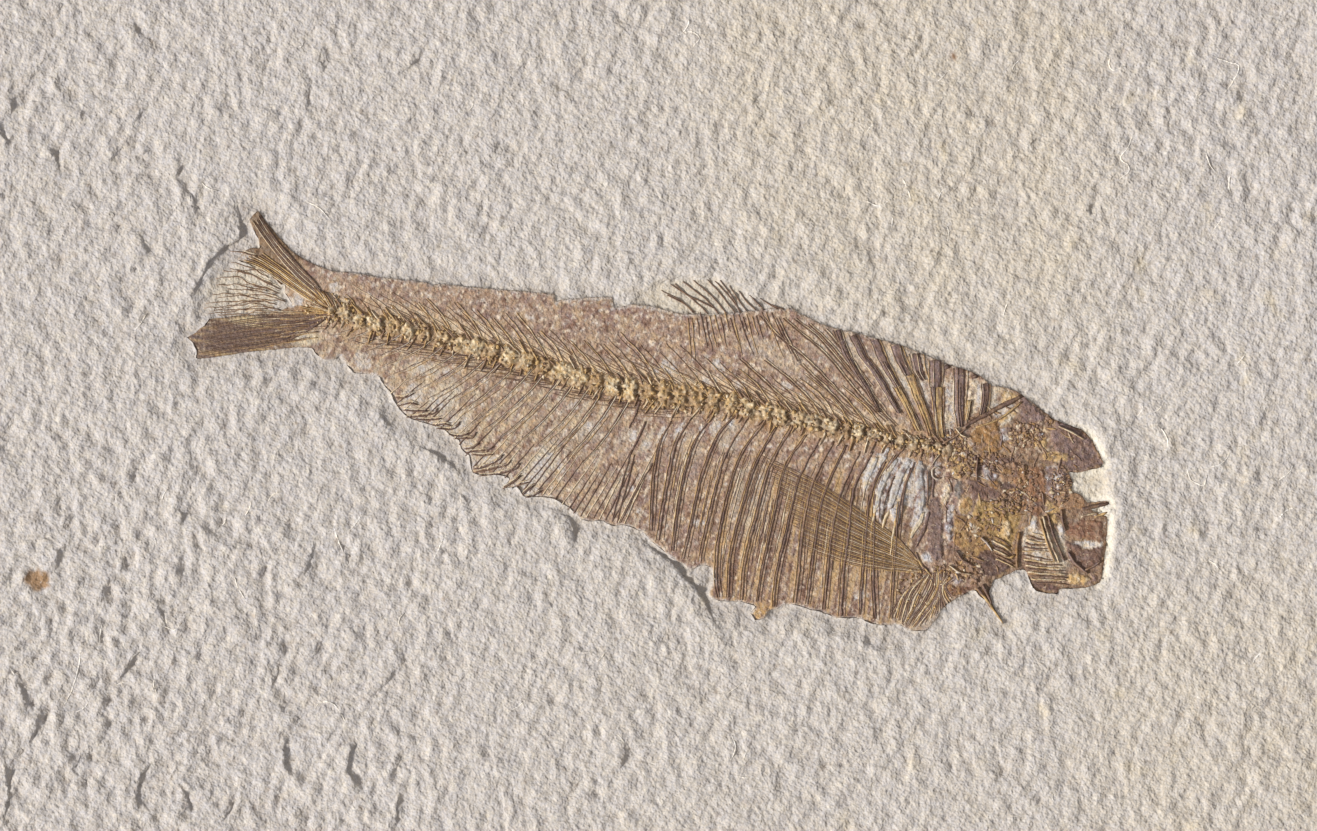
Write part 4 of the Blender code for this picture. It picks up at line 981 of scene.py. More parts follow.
def make_spines():
    """Spines over the backbone and under it, and the fine bones between the muscles."""
    spines = Bits("spines")
    for foot in np.arange(-48.0, 34.5, 2.4):
        rise = np.interp(foot, [-48, -38, -26, 0, 20, 34], [3.0, 3.8, 6.2, 7.2, 7.2, 7.5]) * RNG.uniform(0.8, 1.15)
        lean = np.interp(foot, [-48, -20, 10, 34], [0.75, 0.7, 0.8, 0.95])
        x, y = foot + jitter(0.25), spine_at(foot) + 0.7
        points = [(x, y), (x - lean * rise * 0.42, y + rise * 0.52), (x - lean * rise, y + rise)]
        tone = DARK * 0.5 + BROWN * 0.5 if RNG.random() < 0.5 else BROWN
        spines.rod(points, RNG.uniform(0.15, 0.24), 0.12, tone, GOLD, ends=(1.0, 0.3), wobble=0.12,
                   share=RNG.uniform(0.15, 0.5))
        shift = 0.5 + jitter(0.3)
        points = [(px + shift, py + jitter(0.4)) for px, py in points[: int(RNG.integers(2, 4))]]
        spines.rod(points, 0.16, 0.16, GOLD, CREAM, ends=(1.0, 0.4), wobble=0.1)
    long_spines = [
        [(17.4, 14.5), (19, 11.2), (20.6, 8)],
        [(18.4, 14.5), (21, 12.2), (24.6, 9.2), (27.6, 5.6), (30.7, 2), (33.8, -1)],
        [(20, 14.4), (23.5, 11.7), (26.6, 8.2), (29.7, 4.6), (32.7, 1), (35.4, -1.7)],
        [(22.2, 13.6), (25.4, 10.6), (28.2, 7.2), (31, 3.8), (33.6, 0.8)],
        [(24.6, 12.8), (27, 10), (29.4, 7), (31.6, 4.2)],
        [(15, 14.8), (17.4, 12), (20.6, 9.4), (23.6, 6.6), (26.8, 3.2), (30.2, -0.4)],
        [(15.6, 8.2), (19.5, 5.1), (23.5, 1.2), (26, -0.6)],
        [(11.8, 8.4), (14.9, 5.6), (18.4, 2.4), (21.6, 0.4)],
        [(21, 7.6), (24.6, 4.1), (28.6, 0)],
    ]
    for points in long_spines:
        spines.rod(points, RNG.uniform(0.2, 0.34), 0.18, DARK, BROWN, ends=(0.6, 0.5), wobble=0.08, share=0.6)
        spines.rod([(x + 0.36, y + 0.12) for x, y in points], 0.16, 0.15, CREAM, BROWN, wobble=0.08)
    for x in np.arange(-46.0, 27.0, 0.74):
        if RNG.random() < 0.12:
            continue
        start, run = x + jitter(0.3), RNG.uniform(6.0, 9.5)
        top = RNG.uniform(2.4, 5.2)
        points = off_spine(start, run, top, top * 0.66, 1.0)
        tone = BROWN if RNG.random() < 0.6 else CREAM
        spines.rod(points, 0.14, 0.1, tone, DARK, ends=(0.4, 0.4), wobble=0.1, share=0.25)
    for x in np.arange(-46.0, 0.0, 0.62):
        start, run = x + jitter(0.3), RNG.uniform(5.0, 9.0)
        drop = RNG.uniform(1.5, 3.4)
        points = off_spine(start, run, -drop - 0.4, -drop, -drop * 0.75)
        spines.rod(points, 0.15, 0.11, DARK, GOLD, ends=(0.4, 0.4), wobble=0.06, share=0.4)
    for x in np.arange(-2.0, 36.0, 1.5):
        points = off_spine(x, RNG.uniform(3.0, 5.0), 1.4, 0.6, 0.2)
        spines.rod(points, 0.16, 0.18, GOLD, AMBER, wobble=0.1)
    return spines


def belly_y(x):
    """The belly edge of the sheet behind the ribs."""
    return np.interp(x, (-42, -40, -38, -34, -31.5, -29.8, -28.4, -24, -21, -16.5, -12.5, -8.5, -5, 0),
                     (5.4, 2.2, -0.3, -1.6, -3, -5.2, -8, -9.2, -11.4, -12.4, -15.4, -16, -16.6, -19.8))


ANAL_RAYS = [
    # the free rays of the anal fin, from their tips to the belly
    [(-39.8, 2.6), (-38.2, 2.6), (-37, 3.3)], [(-39.5, 1.3), (-37.6, 1.8), (-36.4, 1.5)],
    [(-38.6, 0.7), (-36.6, 0.6), (-34.9, 0.6)],
    [(-38.1, -0.4), (-36.2, -0.2), (-34, 0.2), (-33.4, 1)], [(-36.8, -0.6), (-34.8, -0.8), (-32.8, -0.5)],
    [(-34.1, -1.6), (-32.6, -1.4), (-31.4, -1.6)], [(-33.6, -2), (-31.6, -2.2), (-30.5, -1.8), (-30.1, -1)],
    [(-31.7, -3), (-30, -3.2), (-28.7, -2.7)], [(-31, -3.6), (-29.6, -3.5), (-28.3, -3.5), (-27.6, -2.6)],
    [(-29.5, -5.1), (-28.2, -4.9), (-27.2, -4.3)], [(-29.3, -5.7), (-27.4, -5.4), (-26, -5.3), (-25, -4.8)],
    [(-28.2, -6), (-26.6, -6.1), (-25.1, -5.9)], [(-28.1, -8.1), (-26.4, -7.8), (-24.2, -6.7), (-23.6, -6)],
    [(-28, -8.7), (-25.6, -8.2), (-23.2, -7.6), (-22.4, -6.8)],
    [(-27.2, -9.2), (-24.6, -8.9), (-21.8, -8.2), (-21, -7.2)],
    [(-23.6, -11.1), (-22.2, -10.2), (-20.9, -9.1)], [(-21.7, -10.7), (-20.8, -10.4), (-19.8, -10.1)],
    [(-20.7, -12), (-19.8, -11.2), (-18.9, -10.6)], [(-20.2, -12.4), (-19.2, -12.2), (-17.8, -11.4)],
]


def make_lower_spines():
    """Spines under the tail's backbone, and the supports and rays of the anal fin."""
    lower = Bits("lower_spines", bare=True)
    for foot in np.arange(-45.0, -3.0, 2.15):
        length = np.interp(foot, [-45, -34, -24, -14, -4], [5.0, 8.6, 12.0, 14.5, 12.0]) * RNG.uniform(0.85, 1.1)
        slope = math.radians(np.interp(foot, [-45, -34, -20, -4], [205, 213, 226, 240]))
        x, y = foot + jitter(0.2), spine_at(foot) - 0.6
        points = []
        for t in (0.0, 0.35, 0.7, 1.0):
            bend = slope + 0.16 * (0.4 - t)
            points.append((x + math.cos(bend) * length * t, y + math.sin(bend) * length * t))
        lower.rod(points, RNG.uniform(0.2, 0.3), 0.15, DARK, BROWN, ends=(1.0, 0.4), wobble=0.1, share=0.4)
        lower.rod([(px + 0.32, py + 0.1) for px, py in points], 0.17, 0.17, CREAM, ROCK, ends=(1.0, 0.4), wobble=0.1)
        if RNG.random() < 0.8:
            aside = 1.0 + jitter(0.3)
            points = [(px + aside, py + jitter(0.1)) for px, py in points[1:]]
            lower.rod(points, 0.16, 0.14, CREAM if RNG.random() < 0.5 else BROWN, GOLD, ends=(0.5, 0.4), wobble=0.1)
    for x in np.arange(-40.5, -4.6, 0.95):
        x = x + jitter(0.15)
        y = belly_y(x) + 0.25
        length = np.interp(x, [-40, -30, -18, -5], [4.6, 7.6, 11.0, 13.0]) * RNG.uniform(0.6, 1.15)
        rise = math.radians(np.interp(x, [-40, -30, -18, -5], [40, 46, 52, 66]) + jitter(2.0))
        points = ray(x, y, rise, length)
        width, *tones = (0.22, DARK, DARK) if RNG.random() < 0.55 else (0.18, CREAM, ROCK)
        lower.rod(points, width, 0.13, *tones, ends=(1.0, 0.2), wobble=0.07, share=0.3)
    for points in ANAL_RAYS:
        lower.rod(points, 0.27, 0.2, DARK, BROWN, ends=(0.5, 0.9), lift=0.03, share=0.35)
        beside = [(x, y + 0.34) for x, y in points[:3]]
        lower.rod(beside, 0.26, 0.15, CREAM, ROCK, ends=(0.3, 0.6), lift=0.02, share=0.3)
    return lower


COLUMN = curve(BACKBONE, 0.1)
COLUMN_REACH = np.concatenate([[0.0], np.cumsum(np.hypot(*(COLUMN[1:] - COLUMN[:-1]).T))])


def vertebra_places():
    """How far along the backbone each vertebra's middle is."""
    places, at = [], 0.7
    while at < COLUMN_REACH[-1] - 0.6:
        places.append(at)
        x = np.interp(at, COLUMN_REACH, COLUMN[:, 0])
        at += float(np.interp(x, [-50, -44, -30, 12, 30, 44], [1.9, 2.5, 2.7, 2.6, 2.2, 2.0])) * RNG.uniform(0.86, 1.14)
    return np.array(places)


def on_column(x, y):
    """How far along the backbone each point is, and how far it is over (+) or under (-) its line."""
    nearest = np.concatenate([
        np.argmin((px[:, None] - COLUMN[:, 0]) ** 2 + (py[:, None] - COLUMN[:, 1]) ** 2, axis=1)
        for px, py in zip(np.array_split(x, 1 + len(x) // 2000), np.array_split(y, 1 + len(x) // 2000))
    ])
    way = np.gradient(COLUMN, axis=0)[nearest]
    gone_x, gone_y = x - COLUMN[nearest, 0], y - COLUMN[nearest, 1]
    return COLUMN_REACH[nearest], (way[:, 0] * gone_y - way[:, 1] * gone_x) / np.hypot(*way.T)


def half_column(x):
    """Half the height of the vertebrae."""
    return np.interp(x, (-51, -47, -40, -20, -6, 0, 6, 14, 20, 32, 45),
                     (0.9, 1.25, 1.3, 1.4, 1.65, 2, 1.9, 1.5, 1.35, 1.2, 0.9))


def make_backbone():
    """Crushed vertebrae: rough golden drums that run together, with dark gaps, their arches broken into crumbs."""
    column = Bits("backbone")
    places = vertebra_places()
    half = half_column(COLUMN[:, 0])

    def border(sign, seed):
        far = half * (1.08 + 0.6 * waves(COLUMN_REACH / 0.9, COLUMN_REACH * 0, seed))
        return COLUMN + sign * normals(COLUMN) * far[:, None]

    loop = polyline(np.vstack([border(1, 241)[::3], border(-1, 242)[::-3]]), 0.22, closed=True)

    def share_of_vertebra(x, y):
        warp = 0.42 * waves(x / 1.6, y / 1.0, 243) + 0.2 * waves(x / 0.5, y / 0.45, 252)
        reach, over = on_column(x + warp, y)
        number = np.interp(reach, places, np.arange(len(places)) + 0.5)
        gap = hashed(np.round(number), np.zeros(len(number)), 253)  # how open each gap is
        kind = hashed(np.floor(number), np.ones(len(number)), 254)  # how pale each vertebra is
        return np.abs(number - np.floor(number) - 0.5) * 2, over / half_column(x), gap, kind

    def top(x, y, away):
        share, over, gap, kind = share_of_vertebra(x, y)
        round_off = np.sqrt(np.clip(1.0 - (over / 1.25) ** 2, 0.02, 1.0))
        drum = 0.42 + 0.18 * kind - (0.22 + 0.28 * gap) * smooth(0.5, 0.85, share)
        lumps = 0.3 * rough(x / 0.9, y / 0.8, 244, 2) + 0.17 * rough(x / 0.42, y / 0.4, 245, 2)
        drum = round_off * drum * (0.9 + 0.25 * waves(x / 3, y / 3, 246))
        return ground(x, y) - 0.04 + smooth(0.0, 0.3, away) * (drum + lumps)

    def colour(x, y, away):
        share, over, gap, kind = share_of_vertebra(x, y)
        rich = np.interp(x, [-50, -30, -4, 12, 24, 44], [0.35, 0.45, 1.0, 0.7, 0.15, 0.0])
        coat = Coats(len(x), 204, 180, 144)
        coat(178, 158, 132, smooth(14.0, 30.0, x))
        coat(212, 176, 114, rich * smooth(-0.3, 0.5, rough(x / 1.2, y, 247, 2)))
        coat(160, 130, 96, 0.7 * smooth(0.35, 0.05, kind + 0.3 * rough(x / 0.9, y / 0.9, 255, 2)))
        coat(236, 222, 190, 0.9 * smooth(0.1, 0.5, rough(x / 0.55, y / 0.45, 248, 2) + 0.5 * (kind - 0.4)))
        coat(122, 92, 64, 0.8 * smooth(0.2, 0.6, rough(x / 0.6, y / 0.5, 249, 2)))
        coat(150, 120, 88, 0.5 * smooth(0.0, -0.9, over + 0.5 * waves(x / 0.9, y / 0.9, 256)))
        # the gaps between the vertebrae are painted dark: partly their own dark joints, partly painted shade in the
        # hollows between the drums
        dark = smooth(0.46, 0.8, share + 0.45 * waves(x / 0.7, y / 0.6, 250)) * smooth(1.35, 0.75, np.abs(over))
        coat(86, 66, 48, (0.35 + 0.6 * gap) * dark)
        coat(150, 118, 86, 0.5 * (1 - smooth(0.0, 0.5, away)))
        return coat.tones

    column.patch(loop, 0.19, top, colour)
    for at in places:
        x, y = np.interp(at, COLUMN_REACH, COLUMN[:, 0]), np.interp(at, COLUMN_REACH, COLUMN[:, 1])
        tall = float(half_column(x))
        for _ in range(10):
            size = RNG.uniform(0.14, 0.46)
            tone = one_of(GOLD, CREAM, BROWN, GOLD, DARK)
            px, py = x + jitter(1.0), y + jitter(1.25 * tall)
            lift = 0.3 if abs(py - y) < 0.8 * tall else 0.0
            column.crumb(px, py, size, size * RNG.uniform(0.5, 1.0), 0.26, tone, GOLD, lift)
        # stumps of the arches, leaning back over the column and under it
        for sign in (1, -1):
            for shift in (-0.5, 0.4, 1.0)[: int(RNG.integers(1, 4))]:
                px, py = x + shift + jitter(0.45), y + sign * tall * 0.55
                lean = (0.75 if sign > 0 else 0.5) + jitter(0.3)
                length = RNG.uniform(0.5, 2.5)
                tip = (px - lean * length, py + sign * length)
                tone = one_of(GOLD, CREAM, BROWN)
                width = RNG.uniform(0.2, 0.36)
                column.rod([(px, py), tip], width, 0.22, tone, BROWN, ends=(1.0, 0.3), wobble=0.12, lift=0.1)
    return column


def fan_between(bits, upper, lower, count, width, height, tones, reach=(1.0, 1.0), wobble=0.04):
    """Fin rays spread evenly between the two outer ones."""
    steps = np.linspace(0.0, 1.0, 7)
    first, last = polyline(curve(upper, 0.3), 0.05), polyline(curve(lower, 0.3), 0.05)
    for k in range(count):
        share = k / max(1, count - 1)
        far = (reach[0] + (reach[1] - reach[0]) * share) * RNG.uniform(0.93, 1.0)
        a = first[(steps * far * (len(first) - 1)).astype(int)]
        b = last[(steps * far * (len(last) - 1)).astype(int)]
        points = a * (1 - share) + b * share
        bits.rod(points, width, height, tones[k % len(tones)], BROWN, ends=(0.9, 0.4), wobble=wobble, share=0.35)


def make_fins():
    """The tail, the back fin, the chest fin and the belly fin, with the crumbs at their roots."""
    fins = Bits("fins", bare=True)
    # tail: upper lobe, its golden lobe, thin middle rays on bare rock, lower lobe
    fan_between(fins, [(-51.6, 19.8), (-54.6, 22.9), (-57.8, 26.6), (-60.2, 30.3)],
                [(-49.6, 16.6), (-54.6, 20.8), (-58.6, 25.4), (-61.3, 29.3)], 12, 0.22, 0.2,
                [DARK * 0.8, BROWN, DARK, CREAM])
    fan_between(fins, [(-50, 16.9), (-55, 20.8), (-60.2, 24.7)],
                [(-50.6, 15.9), (-55.8, 19.3), (-60, 22.1), (-63, 23.1)], 8, 0.3, 0.2, [GOLD, BROWN, GOLD, CREAM])
    fan_between(fins, [(-48.4, 15.6), (-53, 15.2), (-62, 14.4), (-68.6, 13.2)],
                [(-51.6, 13.4), (-56.4, 10.9), (-62, 9.9), (-69.3, 8.8)], 18, 0.22, 0.18,
                [DARK * 0.8, BROWN, DARK, MAUVE, DARK])
    for k in range(26):
        start = np.array([RNG.uniform(-55.5, -50.0), RNG.uniform(11.0, 15.6)])
        turn, length = math.radians(186.0 + (start[1] - 13.0) * -3.0), RNG.uniform(3.0, 9.0)
        points = ray(*start, turn, length)
        fins.rod(points, 0.2, 0.16, (GOLD, CREAM, BROWN)[k % 3], BROWN, ends=(0.5, 0.3), wobble=0.08, lift=0.04)
    for k in range(30):
        turn = math.radians(RNG.uniform(118.0, 196.0))
        near, length = RNG.uniform(0.2, 1.8), RNG.uniform(2.0, 5.5)
        stops = (near, near + length * 0.5, near + length)
        points = [(-48.6 + math.cos(turn) * r, 15.2 + math.sin(turn) * r * 0.9) for r in stops]
        fins.rod(points, RNG.uniform(0.2, 0.4), 0.26, (GOLD, GOLD, CREAM, BROWN)[k % 4], AMBER, ends=(0.8, 0.3),
                 wobble=0.1, lift=0.04)
    for k in range(60):
        x, y = spot_in(-49.6, 15.9, 3.6, 2.4)
        size = RNG.uniform(0.16, 0.42)
        width, height = size * RNG.uniform(0.4, 0.8), RNG.uniform(0.12, 0.24)
        fins.crumb(x, y, size, width, height, (GOLD, CREAM, BROWN, CREAM)[k % 4], GOLD, 0.05)
    for points in MIDDLE_RAYS:
        fins.rod(points, 0.18, 0.15, BROWN, DARK, ends=(0.9, 0.4), wobble=0.2, lift=0.02, share=0.25)
        beside = [(px, py + 0.26) for px, py in points[:-1]]
        fins.rod(beside, 0.26, 0.08, CREAM, ROCK, ends=(0.5, 0.4), wobble=0.16)
    for points in DORSAL_RAYS:
        tone = DARK * 0.6 + BROWN * 0.4
        width = RNG.uniform(0.16, 0.26)
        fins.rod(points, width, 0.2, tone, BROWN, ends=(0.5, 1.0), wobble=0.08, lift=0.02, share=0.35)
    for x in np.arange(4.0, 17.8, 0.7):
        x = x + jitter(0.25)
        top = 15.0 + jitter(0.5)
        length = RNG.uniform(2.2, 7.0)
        slant = np.interp(x, [4, 10, 18], [0.1, 0.28, 0.42]) + jitter(0.07)
        points = [(x, top), (x + slant * length * 0.45, top - length * 0.5), (x + slant * length, top - length)]
        heavy = RNG.random() < 0.5
        fins.rod(points, 0.26 if heavy else 0.17, 0.12, DARK if heavy else GOLD, BROWN, ends=(0.9, 0.2), wobble=0.1)
    # chest fin, fanned back over the ribs
    fan_between(fins, [(38.6, -21.6), (36.5, -19.5), (34, -16.8), (31, -15.1), (26, -11.5), (22, -9.2), (15, -6)],
                [(39.4, -23.6), (33, -23.2), (28, -22.3), (24, -21), (20, -19.3)], 38, 0.15, 0.14,
                [BROWN, GOLD, DARK, GOLD, BROWN, CREAM], reach=(1.0, 0.95), wobble=0.08)
    # belly fin and scutes, a feathery bundle under the chest
    for k in range(34):
        share = (k + 0.5) / 34
        low = np.interp(share, [0.0, 0.25, 0.6, 1.0], [-30.2, -31.6, -32.0, -27.2])
        start = np.array([39.0 + 5.2 * share, -24.8 + 1.4 * math.sin(math.pi * share)])
        tip = np.array([33.6 + 9.8 * share, low])
        side = 0.9 * math.sin(2.4 * math.pi * (share + 0.1))
        points = [start + (tip - start) * t + (-side * math.sin(math.pi * t * 1.4), jitter(0.2))
                  for t in (0.0, 0.3, 0.62, 0.98)]
        tone = (DARK, BROWN, CREAM, GOLD, BROWN, MAUVE, CREAM)[k % 7]
        fins.rod(points, RNG.uniform(0.16, 0.34), 0.16, tone, BROWN, ends=(0.7, 0.4), wobble=0.14, share=0.4)
    for k in range(46):
        share, t = RNG.random(), RNG.random() ** 1.5
        x, y = 34.5 + 8.4 * share + 1.6 * (1 - t), -31.0 + 6.6 * (1 - t) + 1.4 * share
        size = RNG.uniform(0.14, 0.34)
        if holds(EDGE, x, y):
            tone = (GOLD, CREAM, BROWN, DARK, MAUVE)[k % 5]
            fins.crumb(x, y, size, size * RNG.uniform(0.4, 0.8), 0.16, tone, GOLD, 0.04)
    fins.rod([(47.6, -26.0), (48.6, -27.2), (50.0, -29.2), (51.5, -31.3)], 0.55, 0.35, GOLD, DARK, ends=(1.0, 0.2))
    fins.rod([(48.4, -25.4), (49.3, -27.3), (49.9, -29.0)], 0.5, 0.35, DARK, BROWN, ends=(1.0, 0.3))
    return fins


MIDDLE_RAYS = [
    [(-56.8, 19.6), (-58.8, 21.2), (-61, 21.9), (-63.6, 21.3)],
    [(-57, 18.9), (-60, 20.3), (-62.4, 21.4), (-65.6, 21.6)],
    [(-56.2, 17), (-59, 17.9), (-62, 18), (-66.4, 17.6)], [(-57.6, 16.6), (-61, 17.2), (-64.6, 16.4), (-68.4, 16)],
    [(-59, 18.6), (-62.2, 19.2), (-64, 19.6), (-66.6, 19.4)], [(-57, 15.8), (-60.6, 16.3), (-64, 15.5), (-67.8, 15.2)],
    [(-58.4, 18.7), (-61.8, 19.8), (-63.2, 20.7), (-66.7, 20.6)], [(-57.6, 17.9), (-60.5, 18.6), (-65, 18.9)],
    [(-57.4, 17.2), (-60.6, 17.5), (-63.5, 18.2), (-67.2, 18.1)], [(-57.8, 16.1), (-61.5, 16.7), (-66, 16)],
    [(-58, 15.2), (-60, 15.7), (-62.5, 15.2), (-66.5, 15)], [(-58.2, 19.6), (-61, 21), (-64.6, 22)],
    [(-58.8, 20.6), (-61.6, 22.2), (-64.4, 23)], [(-59.6, 17), (-63.4, 17.1), (-68.2, 16.7)],
    [(-57.2, 18.3), (-59.4, 19.2), (-62.6, 19.6)], [(-60.4, 23.8), (-62.6, 24.4), (-64.6, 24.4)],
    [(-59, 16), (-62, 15.9), (-67.6, 15.6)],
]
DORSAL_RAYS = [
    [(0.2, 18.7), (3, 17.2), (5, 15.4)], [(1.6, 19.6), (4.8, 17.4), (7.2, 15.2)], [(3.4, 20), (6.6, 17.6), (8.8, 15.2)],
    [(5, 20.2), (8, 17.6), (10, 15.2)], [(7, 20.4), (9.4, 17.8), (11.2, 15.3)], [(9, 20.2), (10.8, 17.8), (12, 15.4)],
    [(10.4, 19.4), (11.8, 17.2), (13, 15.6)], [(11.8, 18.6), (13, 17), (14.4, 15.7)],
    [(13.4, 18), (14.6, 16.8), (15.6, 15.8)],
    [(15, 17.5), (16.4, 16.6), (17.6, 15.9)], [(16, 16.9), (17.4, 16.3), (18.6, 15.9)],
    [(2.2, 19.7), (4, 18.1), (8, 16.1)], [(8.2, 20.1), (10.2, 18), (12.2, 15.4)], [(1, 18), (3.4, 16.8), (5.2, 15.4)],
]


def make_blades():
    """The wide ridged blades behind the head, and the two bones that lie from them to the skull."""
    blades = Bits("back_blades")
    for width, golden, points in BLADES:
        tones = (GOLD, BROWN) if golden else (MAUVE * 1.1, DARK * 1.1)
        blades.rod(points, width * 1.02, 0.24, *tones, ends=(0.95, 0.4), wobble=0.08, ridges=3, share=0.4)
        for _ in range(3):
            off, first = RNG.uniform(-0.36, 0.36) * width, int(RNG.integers(0, 2))
            groove = [(x + off * (1.1 - 0.1 * k), y) for k, (x, y) in enumerate(points)][first:]
            tone = one_of(DARK * 0.8, CREAM, BROWN)
            blades.rod(groove, 0.13, 0.1, tone, tones[0], ends=(0.4, 0.3), wobble=0.06, lift=0.22, share=0.4)
        for side in (-0.6, 0.62):
            beside = [(x + width * side * (1.1 - 0.1 * k) + jitter(0.06), y) for k, (x, y) in enumerate(points)]
            blades.rod(beside, 0.17, 0.16, one_of(CREAM, BROWN, GOLD), BROWN, ends=(0.5, 0.3), wobble=0.1)
    for x, y in ((43.1, 7.2), (47.3, 5.8)):
        blades.lump(x, y, 0.55, 0.4, 0.3, DARK * 0.7, DARK, 20, 0.4)
    blades.rod([(45.8, -1.7), (49.5, 0.4), (54.2, 2.8)], 0.85, 0.42, DARK, BROWN, ends=(0.7, 0.8), ridges=1)
    blades.rod([(47.4, -1.9), (51.0, -0.5), (54.2, 1.9)], 0.4, 0.36, GOLD, BROWN, ends=(0.6, 0.8))
    return blades


